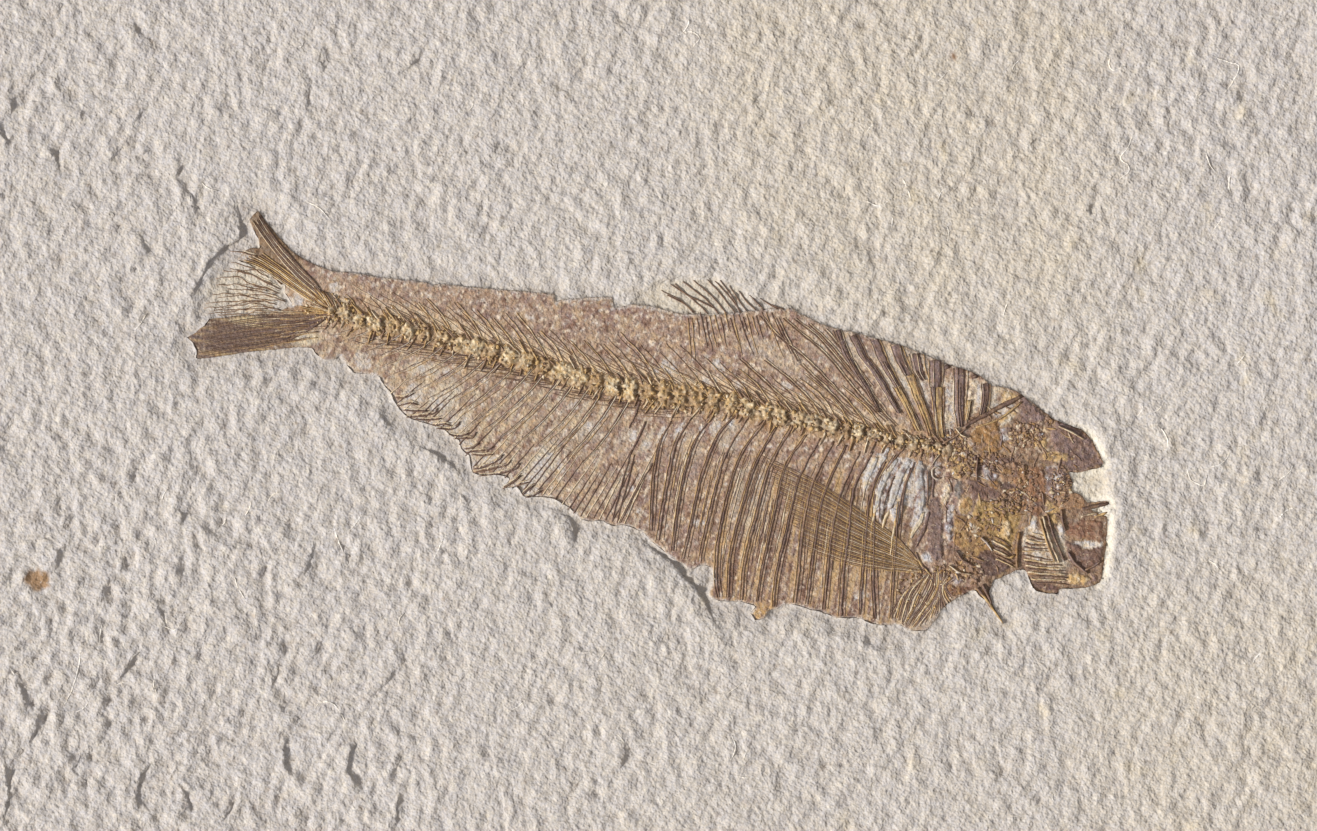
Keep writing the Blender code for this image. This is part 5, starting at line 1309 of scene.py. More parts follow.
SKULL_PLATES = [
    # (outline, colour, second colour, height, fine ribs as direction and spacing)
    # chalky bone behind the head
    ([(30.2, -9.6), (31.4, -6.8), (33.2, -5.4), (33.8, -6.4), (32.4, -8.6), (31.2, -11), (30.4, -11.6)],
     CHALK, CREAM, 0.2, (62, 0.7)),
    ([(32, -12.6), (33.2, -8.8), (35.2, -6.2), (36.6, -6.6), (35, -9.4), (34, -13.4), (33, -16.2), (32.2, -15)],
     CHALK, MAUVE, 0.3, (68, 0.8)),
    ([(34.4, -12), (35.4, -8.8), (37.2, -6.4), (38.6, -6.6), (37.8, -9.6), (36.9, -13.4), (35.6, -16.6), (34.4, -15.4)],
     srgb(196, 196, 198), CREAM, 0.34, (74, 0.9)),
    ([(38.5, -8.2), (39.6, -6.8), (40.6, -9.4), (40.3, -12.4), (39.4, -15), (37.8, -18), (37.5, -16.4), (38.6, -12.2)],
     CHALK * 0.93, MAUVE, 0.34, (80, 0.8)),
    ([(40.4, -4.6), (42, -5.6), (42.4, -8), (41.6, -10.4), (40.6, -9)], BROWN, CHALK, 0.2, (85, 0.7)),
    ([(43, 1.8), (43.8, 4.6), (43.6, -1.8), (42.8, -3.4), (42.4, -0.6)], CREAM, MAUVE, 0.05, (85, 0.6)),
    ([(46.6, 5.4), (47.8, 4.8), (47.6, 0.6), (46.6, 0), (46.2, 2.6)], CREAM, MAUVE, 0.05, (85, 0.6)),
    # the skull
    ([(54.4, 3), (55.6, 1.9), (56.8, 0.7), (58.2, -0.5), (57, -1), (55.4, -1.3), (53.9, -1.2), (54.1, 0.8)],
     MAUVE, DARK, 0.16, None),
    ([(51.6, 3.9), (53.9, 3), (53, 1.9), (51, 1), (51.2, 2.6)], GOLD, CREAM, 0.1, None),
    ([(50.6, -0.9), (53.8, 1.4), (53.6, 0), (52.6, -1), (51, -2)], CREAM, GOLD, 0.12, None),
    ([(51.2, -1.9), (52.6, -1.8), (52.7, -3.2), (51.8, -4), (50.8, -3)], CHALK, MAUVE, 0.16, None),
    ([(47.6, -1.3), (50.6, -0.8), (50.9, -2.8), (51.9, -4.8), (50.2, -5.7), (47.6, -5.2), (46.4, -3.2)],
     AMBER, BROWN, 0.14, (-38, 0.42)),
    ([(52.4, -2.4), (54.2, -1.4), (57.4, -1.2), (58.6, -2.6), (58.4, -5.4), (55.4, -6), (52.8, -5.6), (52, -4.2)],
     BROWN, CREAM, 0.08, None),
    ([(55.8, -3.4), (57.9, -3.3), (58.2, -5), (55.9, -5)], GOLD, AMBER, 0.2, None),
    ([(59.5, -1), (61, -1.3), (62.9, -2.2), (64.2, -3.3), (65.1, -4.7), (65.9, -6.3), (66.7, -7.4), (64.6, -8),
      (61.4, -8.6), (60.4, -7.2), (59.4, -6), (58.8, -4), (58.7, -2.2)], MAUVE, DARK, 0.14, (-26, 0.8)),
    ([(58, -5.4), (60.6, -5.5), (62.2, -6.5), (60, -7.2), (57, -6.8)], GOLD, DARK, 0.2, (6, 0.5)),
    ([(43, -4.6), (45.4, -3.6), (47.4, -5.2), (47.4, -8.4), (45.8, -9.8), (44, -9.6), (42.8, -7.4)],
     GOLD, BROWN, 0.16, None),
    ([(47.6, -6.6), (50.4, -6.2), (53, -6.4), (52.6, -7.4), (49.6, -7.4), (47.8, -8.8)], DARK, BROWN, 0.16, (10, 0.5)),
    ([(48.7, -7.4), (50.4, -7.6), (50.8, -9.2), (50, -10.2), (48.8, -9.8), (48.2, -8.6)], MAUVE, CHALK, 0.3,
     (80, 0.45)),
    ([(51.2, -8.1), (52.8, -7.8), (53.8, -8.9), (53, -10), (51.4, -9.9), (50.9, -9)], BROWN, AMBER, 0.3, None),
    ([(49.4, -10), (50.8, -9.8), (51.4, -10.6), (50.4, -11.3), (49.2, -10.8)], AMBER, BROWN, 0.26, None),
    ([(50.9, -10.3), (52.2, -10), (53.2, -10.6), (52.7, -11.7), (51.2, -11.8)], DARK * 0.72, DARK, 0.2, None),
    ([(46.2, -9.7), (48.2, -9.8), (50, -11), (51.8, -12.1), (50, -12.6), (47, -12.7), (46.1, -11.4)],
     srgb(122, 98, 90), DARK, 0.18, (-28, 0.7)),
    ([(45.2, -12.7), (46.5, -12.3), (47, -13.4), (46.3, -14.9), (45, -14.8), (44.8, -13.8)], GOLD, AMBER, 0.34, None),
    ([(47.6, -12.9), (51, -12.8), (54, -13), (54.2, -15.4), (53.4, -18.6), (52.6, -20.6), (50, -18.4),
      (47.4, -16.6), (46.8, -15)], srgb(158, 130, 84), srgb(186, 158, 100), 0.12, (-80, 0.9)),
    ([(44.2, -15), (47, -15.2), (50, -18.2), (50.2, -20.8), (46, -21.4), (44, -19)],
     srgb(150, 118, 82), srgb(174, 142, 92), 0.14, (15, 0.8)),
    ([(51, -15.9), (52.4, -15.7), (52.9, -17.4), (52.4, -18.9), (51.2, -18.4), (50.7, -17.2)], GOLD, CREAM, 0.3,
     (85, 0.5)),
    ([(46.5, -16.5), (47.6, -16.6), (47.8, -17.5), (46.8, -17.8)], CREAM, BROWN, 0.26, None),
    ([(52.9, -7.2), (55, -7.4), (55.2, -11), (55, -14.8), (53.2, -14), (52.8, -11.8)],
     srgb(160, 122, 88), DARK, 0.2, (84, 0.42)),
    ([(55.3, -7.6), (57.6, -7.8), (58, -11), (57.8, -14.2), (56.4, -15.6), (55.3, -14.6)],
     srgb(152, 112, 82), DARK, 0.24, (96, 0.5)),
    ([(58, -7.4), (60, -7.6), (61.2, -9), (60.6, -11), (59, -12.6), (57.9, -11.6)], MAUVE, CHALK, 0.18, (50, 0.55)),
    ([(59.4, -12.6), (61, -10.8), (62.8, -11.6), (64, -12.8), (63.6, -14), (61.6, -14.2), (60, -14.6)],
     srgb(158, 124, 92), BROWN, 0.2, None),
    ([(57.8, -12.6), (59.4, -12.9), (60.2, -14.6), (59.6, -16.4), (58.6, -16.2), (57.8, -14.6)], GOLD, DARK, 0.22,
     (75, 0.5)),
    ([(55.6, -15), (56.7, -15.4), (56.8, -16.8), (55.9, -17.6), (55, -17.4)], CHALK, CREAM, 0.18, (75, 0.6)),
    ([(59.6, -16.3), (60.6, -16.2), (60.9, -17.6), (60.4, -19.2), (59.8, -18)], CHALK, CREAM, 0.18, None),
    ([(55, -16.8), (57.6, -17.4), (58.6, -20.4), (60.4, -22.6), (57.4, -22.6), (54.8, -21), (54.2, -18.8)],
     srgb(206, 196, 180), srgb(176, 150, 116), 0.05, None),
    ([(61.2, -16.5), (63.4, -15.7), (66.4, -15.8), (66.4, -17.5), (66.7, -18.5), (64.5, -18.8), (62.3, -18.6),
      (60.9, -17.6)],
     srgb(128, 94, 76), BROWN, 0.2, (2, 0.9)),
    ([(62.2, -19.1), (63.6, -18.9), (66.6, -18.9), (66.7, -19.5), (65, -20.2), (63.6, -20.1)], ROCK, CREAM, 0, None),
    ([(60.7, -18.8), (62, -19.2), (64, -20.3), (66.6, -19.6), (66.4, -21.5), (66, -22.6), (64, -23.3),
      (62.2, -22.7), (61.1, -21)], srgb(120, 94, 82), DARK, 0.18, (-40, 1)),
    ([(61.2, -23.7), (63.6, -24), (64.7, -24.6), (63.6, -25.5), (61.4, -25.4), (60.8, -24.6)], GOLD, CREAM, 0.24,
     (5, 0.6)),
    ([(64.3, -23.6), (65.9, -24.3), (65.7, -24.9), (63.9, -25.5), (64.9, -24.6)], MAUVE, DARK, 0.26, (-25, 0.5)),
    ([(55.9, -25.2), (58.4, -25.3), (60, -25.9), (59.7, -26.7), (57.8, -26.2), (56.1, -25.8)],
     srgb(116, 92, 88), DARK, 0.16, None),
    ([(47.9, -20.6), (49.4, -20.1), (51.5, -21.8), (52.6, -22.9), (51.2, -23.8), (49.8, -24.4), (48, -24),
      (47.2, -22.2)],
     srgb(98, 78, 72), DARK, 0.18, (-30, 0.8)),
    ([(43.7, -24.1), (45.2, -24.2), (45.7, -25), (44.7, -25.4), (43.7, -25)], MAUVE, CHALK, 0.28, None),
    ([(42.9, -25.5), (45.2, -25.6), (47.2, -26.1), (45.4, -26.9), (43.6, -27.5)], srgb(112, 78, 60), AMBER, 0.2,
     (-10, 0.6)),
    ([(44.6, -21.6), (47.2, -21.4), (48, -24.4), (47.6, -25.6), (46, -24.2), (44.2, -23.4)], BROWN, AMBER, 0.16, None),
    ([(40.3, -12.6), (42, -12.2), (42.5, -15), (42.5, -19), (42.5, -21.1), (41.4, -22), (40.2, -20.6), (40, -16)],
     srgb(128, 108, 102), DARK, 0.26, (90, 0.55)),
    ([(39.2, -20.4), (40.4, -20.8), (41.2, -21.9), (40.4, -22.4), (39.2, -21.6)], CHALK, MAUVE, 0.2, None),
    ([(43, -10.1), (43.9, -10.3), (43.6, -12), (42.9, -13.9), (42.1, -12.8), (42.3, -11.2)], CREAM, CHALK, 0.34,
     (80, 0.6)),
    ([(43.3, -13.3), (44.4, -13.5), (43.9, -15.5), (43.9, -18), (43.5, -19.3), (42.8, -18), (42.7, -15.5)],
     CHALK, MAUVE, 0.32, (85, 0.6)),
    ([(44.2, -10), (45.4, -9.9), (45.8, -11.4), (44.9, -12.8), (44.1, -12.4)], srgb(122, 116, 108), MAUVE, 0.24, None),
    ([(43, -19.4), (44.6, -20), (45.6, -21.6), (44, -22.4), (42.7, -21.4)], BROWN, DARK, 0.2, (-60, 0.5)),
]
CHALKY = [
    # (width, colour, second colour, points) of the chalky bones behind the head
    (1.15, CHALK, CREAM, [(32.5, -6.4), (31.5, -8.5), (30.7, -11)]),
    (0.9, CHALK, MAUVE, [(34.3, -4.9), (33.6, -6.4), (32.9, -7.9)]),
    (1.2, CHALK, CREAM, [(35.6, -6.6), (34, -8.9), (32.9, -11.7), (32.2, -14.9)]),
    (1.45, CHALK, MAUVE, [(37.5, -6.8), (36.2, -8.9), (35.3, -11.5), (34.3, -14.6)]),
    (1.5, CHALK * 0.9, MAUVE, [(39.1, -6.9), (38.9, -9.4), (39.3, -12), (39.1, -14.4)]),
    (0.7, CREAM, GOLD, [(34.4, -14.2), (33.8, -15.6), (33.4, -17)]),
    (0.6, CREAM, GOLD, [(32.4, -14.4), (32.1, -15.4), (31.8, -16.4)]),
    (0.9, CREAM, CHALK, [(39.6, -14.6), (38.8, -16.4), (37.6, -18.4)]),
    (0.45, CREAM, GOLD, [(35.4, -15.4), (34.9, -18.4), (34.6, -21)]),
    (0.6, MAUVE, DARK, [(40.9, -5), (41, -8.6), (40.9, -12.4)]),
    (0.8, MAUVE, DARK, [(40.4, -14.6), (39.6, -17.2), (38.4, -19.8)]),
    (0.5, GOLD, DARK, [(38.4, -20.6), (39.2, -22.4), (41, -24.4)]),
    (0.34, DARK, BROWN, [(36.1, -5.5), (34.7, -7.2), (33.5, -9.4), (32.8, -11.6)]),
    (0.42, DARK, BROWN, [(38.2, -7.1), (37, -10), (36.4, -13.3), (36.1, -16.9)]),
    (0.3, DARK, BROWN, [(40.1, -8.2), (40.2, -11), (40.1, -13.6)]),
    (0.24, DARK, BROWN, [(35.2, -9.2), (34.3, -11.2), (33.6, -13.6)]),
    (0.3, BROWN, DARK, [(33.1, -7.9), (32.2, -10), (31.6, -12.6)]),
]
GILL_RAYS = [
    # (points, pale) of the rays under the cheek
    ([(50.2, -18.3), (51.4, -18.8), (52.7, -19.8)], 0), ([(50, -18.9), (51.3, -19.5), (52.6, -20.4)], 1),
    ([(50, -19.6), (51.4, -20.2), (52.6, -21.1)], 0), ([(50, -20.2), (51.6, -20.9), (53, -21.7)], 1),
    ([(50.2, -20.9), (51.8, -21.6), (53.2, -22.4)], 0), ([(50.4, -21.6), (52, -22.3), (53.2, -22.9)], 1),
    ([(55.8, -17.7), (57.2, -18), (57.9, -18.3)], 1), ([(55.3, -18.2), (56.6, -18.6), (57.9, -18.7)], 0),
    ([(55, -18.7), (56.6, -19.1), (57.9, -19.1)], 1), ([(54.8, -19.2), (56.4, -19.6), (57.9, -19.5)], 0),
    ([(54.6, -19.8), (56.4, -20.1), (58.1, -20.1)], 0), ([(54.4, -20.4), (56.6, -20.5), (58.3, -20.5)], 1),
    ([(54.4, -21), (56.6, -21.4), (59, -21.8)], 0), ([(54.6, -21.6), (57, -22), (60, -22.1)], 1),
    ([(54.7, -22.1), (57.2, -22.4), (60.4, -22.6)], 0), ([(54.9, -22.6), (57.4, -22.9), (60.8, -23)], 1),
    ([(55, -23.1), (57.6, -23.3), (60.9, -23.4)], 0), ([(55.2, -23.6), (57.6, -23.8), (61, -23.9)], 1),
    ([(55.4, -24.1), (57.8, -24.2), (61.2, -24.4)], 0), ([(55.7, -24.6), (58, -24.7), (61.2, -24.9)], 1),
    ([(56, -25.1), (58.2, -25.2), (61.6, -25.5)], 0),
]


def crushed_plates(x, y):
    """Relief and colour of the crushed plates of the skull at each point of the sheet, and where they are."""
    rise, cover, tones = np.zeros(len(x)), np.zeros(len(x)), np.zeros((len(x), 3))
    near = np.where((x > 29.0) & (y < 6.0))[0]
    if not len(near):
        return rise, cover, tones
    px, py = x[near], y[near]
    bent_x = px + 0.26 * waves(px / 0.8, py / 0.8, 231) + 0.12 * waves(px / 0.35, py / 0.35, 232)
    bent_y = py + 0.26 * waves(px / 0.8, py / 0.8, 233) + 0.12 * waves(px / 0.35, py / 0.35, 234)
    for number, (outline, tone, second, height, lines) in enumerate(SKULL_PLATES):
        box = np.array(outline)
        low, high = box.min(axis=0) - 0.4, box.max(axis=0) + 0.4
        here = np.where((bent_x > low[0]) & (bent_x < high[0]) & (bent_y > low[1]) & (bent_y < high[1]))[0]
        if not len(here):
            continue
        hx, hy = bent_x[here], bent_y[here]
        away = away_from(outline, hx, hy, 2.0)
        within = inside(outline, hx, hy)
        here, hx, hy, away = here[within], px[here[within]], py[here[within]], away[within]
        if not len(here):
            continue
        middle = box.mean(axis=0)
        tilt = np.array([hashed(np.array([number]), np.array([k]), 235)[0] - 0.5 for k in (0, 1)]) * 0.12
        level = 0.55 * height + (hx - middle[0]) * tilt[0] + (hy - middle[1]) * tilt[1]
        level = level + 0.09 * rough(hx / 0.8 + number, hy / 0.7, 236, 2) + 0.05 * waves(hx / 0.33, hy / 0.3, 237)
        shade = 0.2 * rough(hx / 0.6, hy / 0.55 + number, 238, 2) + 0.13 * waves(hx / 0.28, hy / 0.26, 239)
        if lines:
            turn = math.radians(lines[0])
            over = (-hx * math.sin(turn) + hy * math.cos(turn)) / lines[1] + 0.25 * waves(hx, hy, 240)
            grooves = waves(over, (hx * math.cos(turn) + hy * math.sin(turn)) / (lines[1] * 8) + number, 241)
            level = level + 0.08 * grooves
            # painted light and shade: the fine ribs' crests are painted paler and their grooves darker
            shade = shade + 0.22 * grooves
        share = smooth(0.0, 0.3, away)
        target = near[here]
        rise[target] = rise[target] * (1 - share) + level * share
        hue = mixed(np.tile(tone, (len(here), 1)), second, smooth(-0.1, 0.4, rough(hx / 1.1 + number, hy, 242, 3)))
        hue = mixed(hue, srgb(122, 96, 78), 0.3 * (1 - smooth(0.0, 0.22, away)))
        hue = hue * (1 + shade)[:, None]
        share = smooth(0.0, 0.12, away) * 0.88
        tones[target] = tones[target] * (1 - share[:, None]) + hue * share[:, None]
        cover[target] = cover[target] * (1 - share) + share
    return rise, cover, tones


def make_skull():
    """Crushed skull: long jaw bones, gill rays, chalky splinters and crumbs on the plates."""
    skull = Bits("skull", bare=True)
    for width, tone, second, points in CHALKY:
        ridges, share = (2, 0.4) if width > 0.85 else (0, 0.5)
        skull.rod(points, width, 0.2, tone, second, ends=(0.5, 0.35), wobble=0.1, ridges=ridges, share=share)
    for points, pale in GILL_RAYS:
        tones = (CREAM, GOLD) if pale else (DARK, BROWN)
        skull.rod(points, RNG.uniform(0.22, 0.36), 0.22, *tones, ends=(0.8, 0.4), wobble=0.1)
    rods = [
        (0.55, CREAM, [(57.5, -15.2), (58.3, -18.2), (59.9, -22.2)]),
        (0.5, DARK, [(58.2, -15), (59.2, -18.4), (60.7, -21.9)]),
        (0.4, GOLD, [(57, -15.6), (57.9, -18.6), (59.2, -22)]),
        (0.75, DARK * 0.85, [(63.4, -14.1), (65.4, -13.7), (67.2, -13.25)]),
        (0.5, CREAM, [(63.2, -15.3), (64.6, -14.9), (65.8, -14.7)]),
        (0.55, GOLD, [(65.2, -15.3), (66.2, -15), (67, -14.6)]),
        (0.45, MAUVE, [(61.2, -20.6), (62.4, -22.3), (64.2, -23.8)]),
        (0.5, MAUVE, [(63.8, -23.3), (65.2, -22.6), (66.2, -21.9)]),
        (0.6, AMBER, [(53.9, -17.6), (53.6, -20), (53.6, -22.9)]),
        (0.5, GOLD, [(53.2, -21), (52.6, -21.4), (51.6, -21.2)]),
        (0.5, DARK, [(60.2, -14.2), (60.4, -15.8), (60.9, -17.4)]),
        (0.3, CREAM, [(59.8, -1.7), (61.6, -2.5), (63.6, -3.7)]),
        (0.45, DARK, [(42.4, -4.4), (44.6, -3), (46.2, -1.8)]), (0.3, CREAM, [(44.4, -2), (45.2, -3), (46.2, -3.4)]),
        (0.4, DARK, [(47.7, -6.4), (47.5, -8.4), (47.6, -9.8)]),
        (0.4, DARK, [(44.4, -20.4), (45.4, -21.8), (47, -22.6)]),
        (0.3, CREAM, [(43.4, -22.6), (45, -23.6), (46.8, -24)]),
        (0.35, CHALK, [(48.2, -18.4), (49.2, -19.4), (49.8, -20.4)]),
    ]
    for width, tone, points in rods:
        skull.rod(points, width, 0.45, tone, BROWN, ends=(0.8, 0.6), wobble=0.06, ridges=1 if width > 0.45 else 0)
    # a small ring of chalky bone
    ring = [(41.6 + 0.75 * math.cos(turn), -8.7 + 0.95 * math.sin(turn)) for turn in np.linspace(0.8, 5.4, 8)]
    skull.rod(ring, 0.5, 0.3, srgb(192, 182, 168), BROWN, ends=(0.6, 0.5), wobble=0.12)
    tones = (GOLD, CREAM, BROWN, DARK, AMBER, CHALK, MAUVE)
    for cx, cy, rx, ry, count in CRUMB_FIELDS:
        for _ in range(count):
            x, y = spot_in(cx, cy, rx, ry)
            size = RNG.uniform(0.16, 0.5)
            tone = tones[int(RNG.choice(7, p=(0.14, 0.05, 0.42, 0.21, 0.1, 0.03, 0.05)))]
            skull.crumb(x, y, size, size * RNG.uniform(0.35, 0.8), RNG.uniform(0.07, 0.16), tone, BROWN, 0.02)
    for _ in range(SPLINTERS):
        x, y = RNG.uniform(42.0, 66.0), RNG.uniform(-25.0, 1.0)
        turn, length = math.radians(RNG.normal(-60.0 if x < 57 else -20.0, 45.0)), RNG.uniform(0.7, 2.6)
        c, s = math.cos(turn) * length / 2, math.sin(turn) * length / 2
        points = [(x - c, y - s), (x + jitter(0.12), y + jitter(0.12)), (x + c, y + s)]
        if not inside(HEAD_ROOM, *np.array(points).T).all() or (x > 53.5 and y < -16.0):
            continue
        tone = tones[int(RNG.choice(7, p=(0.14, 0.06, 0.42, 0.2, 0.08, 0.02, 0.08)))]
        skull.rod(points, RNG.uniform(0.18, 0.5), 0.12, tone, BROWN, ends=(0.4, 0.4), wobble=0.14)
    return skull


HEAD_ROOM = [(42.6, 2), (53, 1.6), (57.2, -0.8), (62.4, -2.8), (65.4, -6.8), (61, -9), (61.4, -12.4), (63.4, -13.4),
             (66.2, -16.4), (65.8, -24), (60, -25.4), (56.2, -24.8), (54.4, -22.6), (50.4, -24.2), (46.6, -25.8),
             (42.6, -26.6)]
CRUMB_FIELDS = [
    # granular places: middle, half sizes, count
    (54.8, -3, 2.6, 2, 130), (45.2, -6.6, 2.2, 2.6, 110), (50, -7, 3.4, 1.2, 70), (52.8, -12.4, 1.6, 1.4, 70),
    (43.4, -3.6, 2.4, 1.4, 60), (54.6, -11, 2.2, 4, 70), (60.2, -10.6, 1.6, 3, 60), (46.2, -23, 2.2, 2.4, 60),
    (58.4, -0.9, 0.6, 0.5, 14), (48, -17.4, 3.4, 2.6, 50), (42.6, -23.6, 1.6, 1.2, 40), (39.6, -5, 2.6, 1.8, 50),
    (51.2, -14, 3, 1.2, 40), (39, -23.8, 2, 1, 30),
]


THREADS = [
    # fine pale ridges on the split face, like hairs
    [(-63.9, -24.2), (-63.2, -26), (-62.2, -27.6)], [(-48.9, -16.8), (-48.3, -18.8), (-47.4, -20.7)],
    [(-86.8, -34.1), (-87.1, -37.4), (-88, -40.6), (-89.3, -43.4)], [(-80, -38), (-79.2, -36.4), (-78.1, -35.5)],
    [(-75.7, -39), (-75.9, -40.4), (-75.4, -41.7)], [(-74.4, -31.8), (-72.8, -32.2), (-71.8, -31.2)],
    [(67.6, 53.7), (67.4, 52.6), (68, 51.7), (69.6, 52.3)],
    [(83.3, 53.7), (85.6, 52.9), (86.9, 52.3), (86.2, 50.4), (84.7, 48.3)],
    [(70.9, 42.1), (70.2, 40.2), (69.1, 38.6), (70.2, 37.6), (70.4, 36.6), (68.9, 35.4)],
    [(81.8, 39.8), (82.4, 37.8), (83.2, 36.6)],
    [(-47, -46.4), (-48.6, -43.6), (-50.8, -43), (-52, -44.6)], [(-53, 32), (-51, 31), (-49.4, 29.2)],
    [(2.6, 57), (4.6, 57.6), (6, 56.6), (5, 55.2)], [(31, 32), (33.2, 31.4), (34.6, 32.4)],
    [(79, -7.6), (79.6, -9.6), (81.6, -10.6), (82, -9)], [(75.2, -2), (76.2, -3.6), (76, -5.4)],
    [(10.8, -48), (11.4, -50), (10.6, -51.8)], [(28, -50), (30.2, -50.8), (31.6, -50)],
]


def make_threads():
    """Fine pale ridges and scratches on the split face."""
    threads = Bits("stone_threads", bare=True, slot="limestone")
    pale = srgb(244, 239, 230)
    for points in THREADS:
        threads.rod(points, 0.3, 0.08, pale, ROCK, ends=(0.3, 0.3), wobble=0.1, share=0.3)
    made = 0
    while made < STRAY_THREADS:
        x, y = RNG.uniform(-97, 97), RNG.uniform(-60, 60)
        if holds(FISH_ROOM, x, y):
            continue
        turn = LEAN + math.radians(RNG.normal(0.0, 40.0))
        length, bow = RNG.uniform(1.0, 3.6), RNG.uniform(-0.35, 0.35)
        points = bowed(x, y, turn, length, 0.5 * bow * length)
        threads.rod(points, RNG.uniform(0.2, 0.34), 0.07, pale, ROCK, ends=(0.3, 0.3), wobble=0.1, share=0.3)
        made += 1
    return threads


# ================================================================ materials
def surface(name, roughness, gloss, speckles, tints, flecks, grain):
    """A mineral surface: the mesh's own colours, broken up by fine noise, with a fine bumpy grain.

    speckles is a list of (size in mm, strength) that lighten and darken, tints of (size, one colour, other colour),
    flecks of (size, threshold, colour, strength) and grain of (size in mm, depth in mm). gloss is the specular level.
    """
    material = bpy.data.materials.new(name)
    material.use_nodes = True
    nodes, links = material.node_tree.nodes, material.node_tree.links
    shader = nodes["Principled BSDF"]
    shader.inputs["Specular IOR Level"].default_value = gloss
    place = nodes.new("ShaderNodeTexCoord")
    tone = nodes.new("ShaderNodeAttribute")
    tone.attribute_name = "tone"

    def noise(size, detail=2.0):
        node = nodes.new("ShaderNodeTexNoise")
        node.inputs["Scale"].default_value = 1.0 / (size * MM)
        node.inputs["Detail"].default_value = detail
        node.inputs["Roughness"].default_value = 0.5
        links.new(place.outputs["Object"], node.inputs["Vector"])
        return node.outputs["Fac"]

    def spread(value, start, end, low, high):
        node = nodes.new("ShaderNodeMapRange")
        for socket, number in zip(("From Min", "From Max", "To Min", "To Max"), (start, end, low, high)):
            node.inputs[socket].default_value = number
        links.new(value, node.inputs["Value"])
        return node.outputs["Result"]

    def mix(kind, factor, below, above):
        node = nodes.new("ShaderNodeMix")
        node.data_type = "RGBA"
        node.blend_type = kind
        for socket, value in (("Factor", factor), ("A", below), ("B", above)):
            kinds = [found for found in node.inputs if found.name == socket and found.enabled]
            if isinstance(value, (float, tuple)):
                kinds[0].default_value = value
            else:
                links.new(value, kinds[0])
        return [found for found in node.outputs if found.enabled][0]

    colour = tone.outputs["Color"]
    for size, strength in speckles:
        colour = mix("MULTIPLY", 1.0, colour, spread(noise(size), 0.3, 0.7, 1.0 - strength, 1.0 + strength))
    for size, one, other in tints:
        tint = mix("MIX", spread(noise(size), 0.36, 0.64, 0.0, 1.0), (*one, 1.0), (*other, 1.0))
        colour = mix("MULTIPLY", 1.0, colour, tint)
    for size, threshold, fleck, strength in flecks:
        share = spread(noise(size), threshold, threshold + 0.07, 0.0, strength)
        colour = mix("MIX", share, colour, (*[float(c) for c in fleck], 1.0))
    links.new(colour, shader.inputs["Base Color"])
    links.new(spread(noise(1.2), 0.0, 1.0, roughness - 0.08, roughness + 0.08), shader.inputs["Roughness"])

    above = None
    for size, depth in grain:
        bump = nodes.new("ShaderNodeBump")
        bump.inputs["Strength"].default_value = 1.0
        bump.inputs["Distance"].default_value = depth * MM
        links.new(noise(size, 0.8), bump.inputs["Height"])
        if above:
            links.new(above.outputs["Normal"], bump.inputs["Normal"])
        above = bump
    links.new(above.outputs["Normal"], shader.inputs["Normal"])
    return material


# ================================================================ view and light
SENSOR = 36.0  # width of the camera's sensor, in millimetres
PHOTO_WIDTH = 1317 * 0.15  # pixels in the photo's width, and millimetres in a pixel
CAMERA_AT = (-0.225, -0.075)  # in millimetres
CAMERA_DISTANCE = 0.7  # above the split face, in metres
KEY, KEY_AZIMUTH, KEY_HEIGHT = 4.06, 196.0, 31.0  # the lamp's strength, where it stands and how high, in degrees
KEY_SIZE = 9.0  # in degrees
KEY_COLOUR = (1.0, 0.985, 0.96)
FILL, FILL_COLOUR = 0.31, (1.0, 0.975, 0.975, 1.0)
FLOOR_REACH = 3  # half the floor's length, in metres
FLOOR_COLOUR = (0.72, 0.71, 0.69, 1.0)


def make_view():
    """Camera straight above the slab, as the specimen is seen, with a broad low lamp from the left and soft fill."""
    scene = bpy.context.scene
    lens = bpy.data.cameras.new("camera")
    lens.sensor_width = SENSOR
    lens.lens = SENSOR * CAMERA_DISTANCE / (PHOTO_WIDTH * MM)
    lens.clip_start = 0.01
    scene.camera = placed("camera", lens)
    scene.camera.location = (CAMERA_AT[0] * MM, CAMERA_AT[1] * MM, CAMERA_DISTANCE + TOP * MM)

    lamp = bpy.data.lights.new("key", "SUN")
    lamp.energy, lamp.angle, lamp.color = KEY, math.radians(KEY_SIZE), KEY_COLOUR
    turn, rise = math.radians(KEY_AZIMUTH), math.radians(KEY_HEIGHT)
    towards = Vector((math.cos(turn), math.sin(turn), math.tan(rise)))
    placed("key", lamp).rotation_euler = towards.to_track_quat("Z", "Y").to_euler()

    world = bpy.data.worlds.new("studio")
    world.use_nodes = True
    world.node_tree.nodes["Background"].inputs["Color"].default_value = FILL_COLOUR
    world.node_tree.nodes["Background"].inputs["Strength"].default_value = FILL
    scene.world = world
    scene.view_settings.view_transform = "Standard"


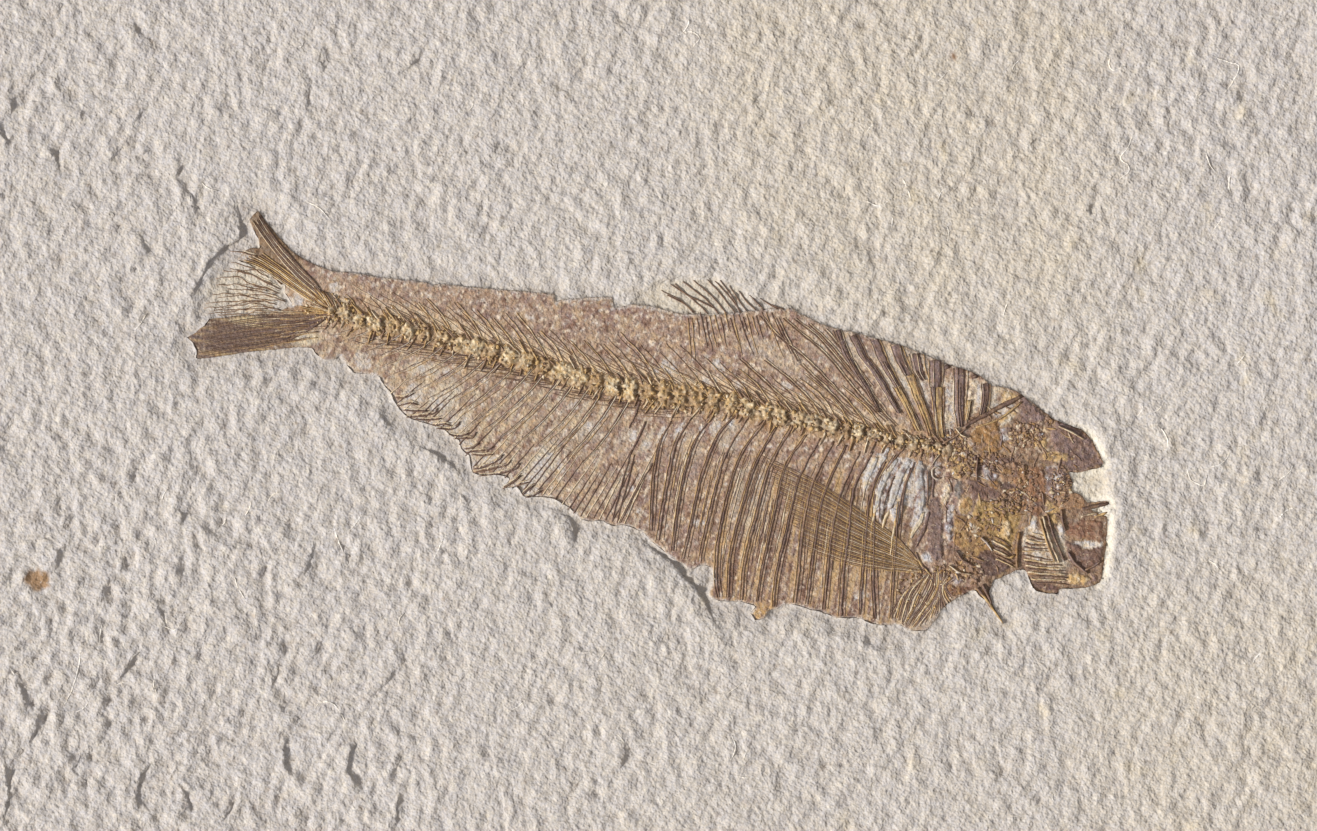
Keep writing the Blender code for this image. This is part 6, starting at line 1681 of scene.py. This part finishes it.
def make_floor():
    """A plain pale floor under the slab."""
    mesh = bpy.data.meshes.new("floor")
    corners = [(x * FLOOR_REACH, y * FLOOR_REACH, 0) for x, y in ((-1, -1), (1, -1), (1, 1), (-1, 1))]
    mesh.from_pydata(corners, [], [(0, 1, 2, 3)])
    paint = bpy.data.materials.new("floor_paint")
    paint.use_nodes = True
    paint.node_tree.nodes["Principled BSDF"].inputs["Base Color"].default_value = FLOOR_COLOUR
    paint.node_tree.nodes["Principled BSDF"].inputs["Roughness"].default_value = 0.8
    mesh.materials.append(paint)
    floor = placed("floor", mesh)


# ================================================================ the scene
limestone = surface(
    "limestone", 0.9, 0.25,
    speckles=[(0.3, 0.1), (0.14, 0.08)],
    tints=[(1.6, (1.02, 1.0, 0.97), (0.99, 0.99, 1.01)), (0.45, (1.03, 1.0, 0.95), (0.98, 0.99, 1.02))],
    flecks=[(0.32, 0.64, srgb(236, 232, 224), 0.6), (0.4, 0.66, srgb(150, 138, 124), 0.4)],
    grain=[(0.7, 0.3), (0.3, 0.11)],
)
bone_sheet = surface(
    "fossil_sheet", 0.72, 0.35,
    speckles=[(0.5, 0.16), (0.2, 0.14)],
    tints=[(1.1, (1.09, 1.03, 0.96), (0.99, 1.01, 1.1)), (0.35, (1.07, 1.01, 0.94), (0.97, 1.0, 1.06))],
    flecks=[(0.4, 0.63, srgb(200, 180, 154), 0.7), (0.3, 0.65, srgb(84, 62, 52), 0.6)],
    grain=[(0.5, 0.2), (0.26, 0.1)],
)
bone = surface(
    "fossil_bone", 0.6, 0.4,
    speckles=[(0.35, 0.14), (0.15, 0.12)],
    tints=[(0.6, (1.08, 1.0, 0.88), (0.96, 0.98, 1.05))],
    flecks=[(0.25, 0.64, srgb(210, 188, 150), 0.6), (0.22, 0.64, srgb(84, 62, 50), 0.5)],
    grain=[(0.4, 0.1), (0.22, 0.06)],
)
make_view()
make_floor()
make_rock(limestone)
make_threads().make(limestone)
make_sheet(bone_sheet)
for group in (make_ribs, make_spines, make_lower_spines, make_fins, make_blades, make_backbone, make_skull):
    group().make(bone)
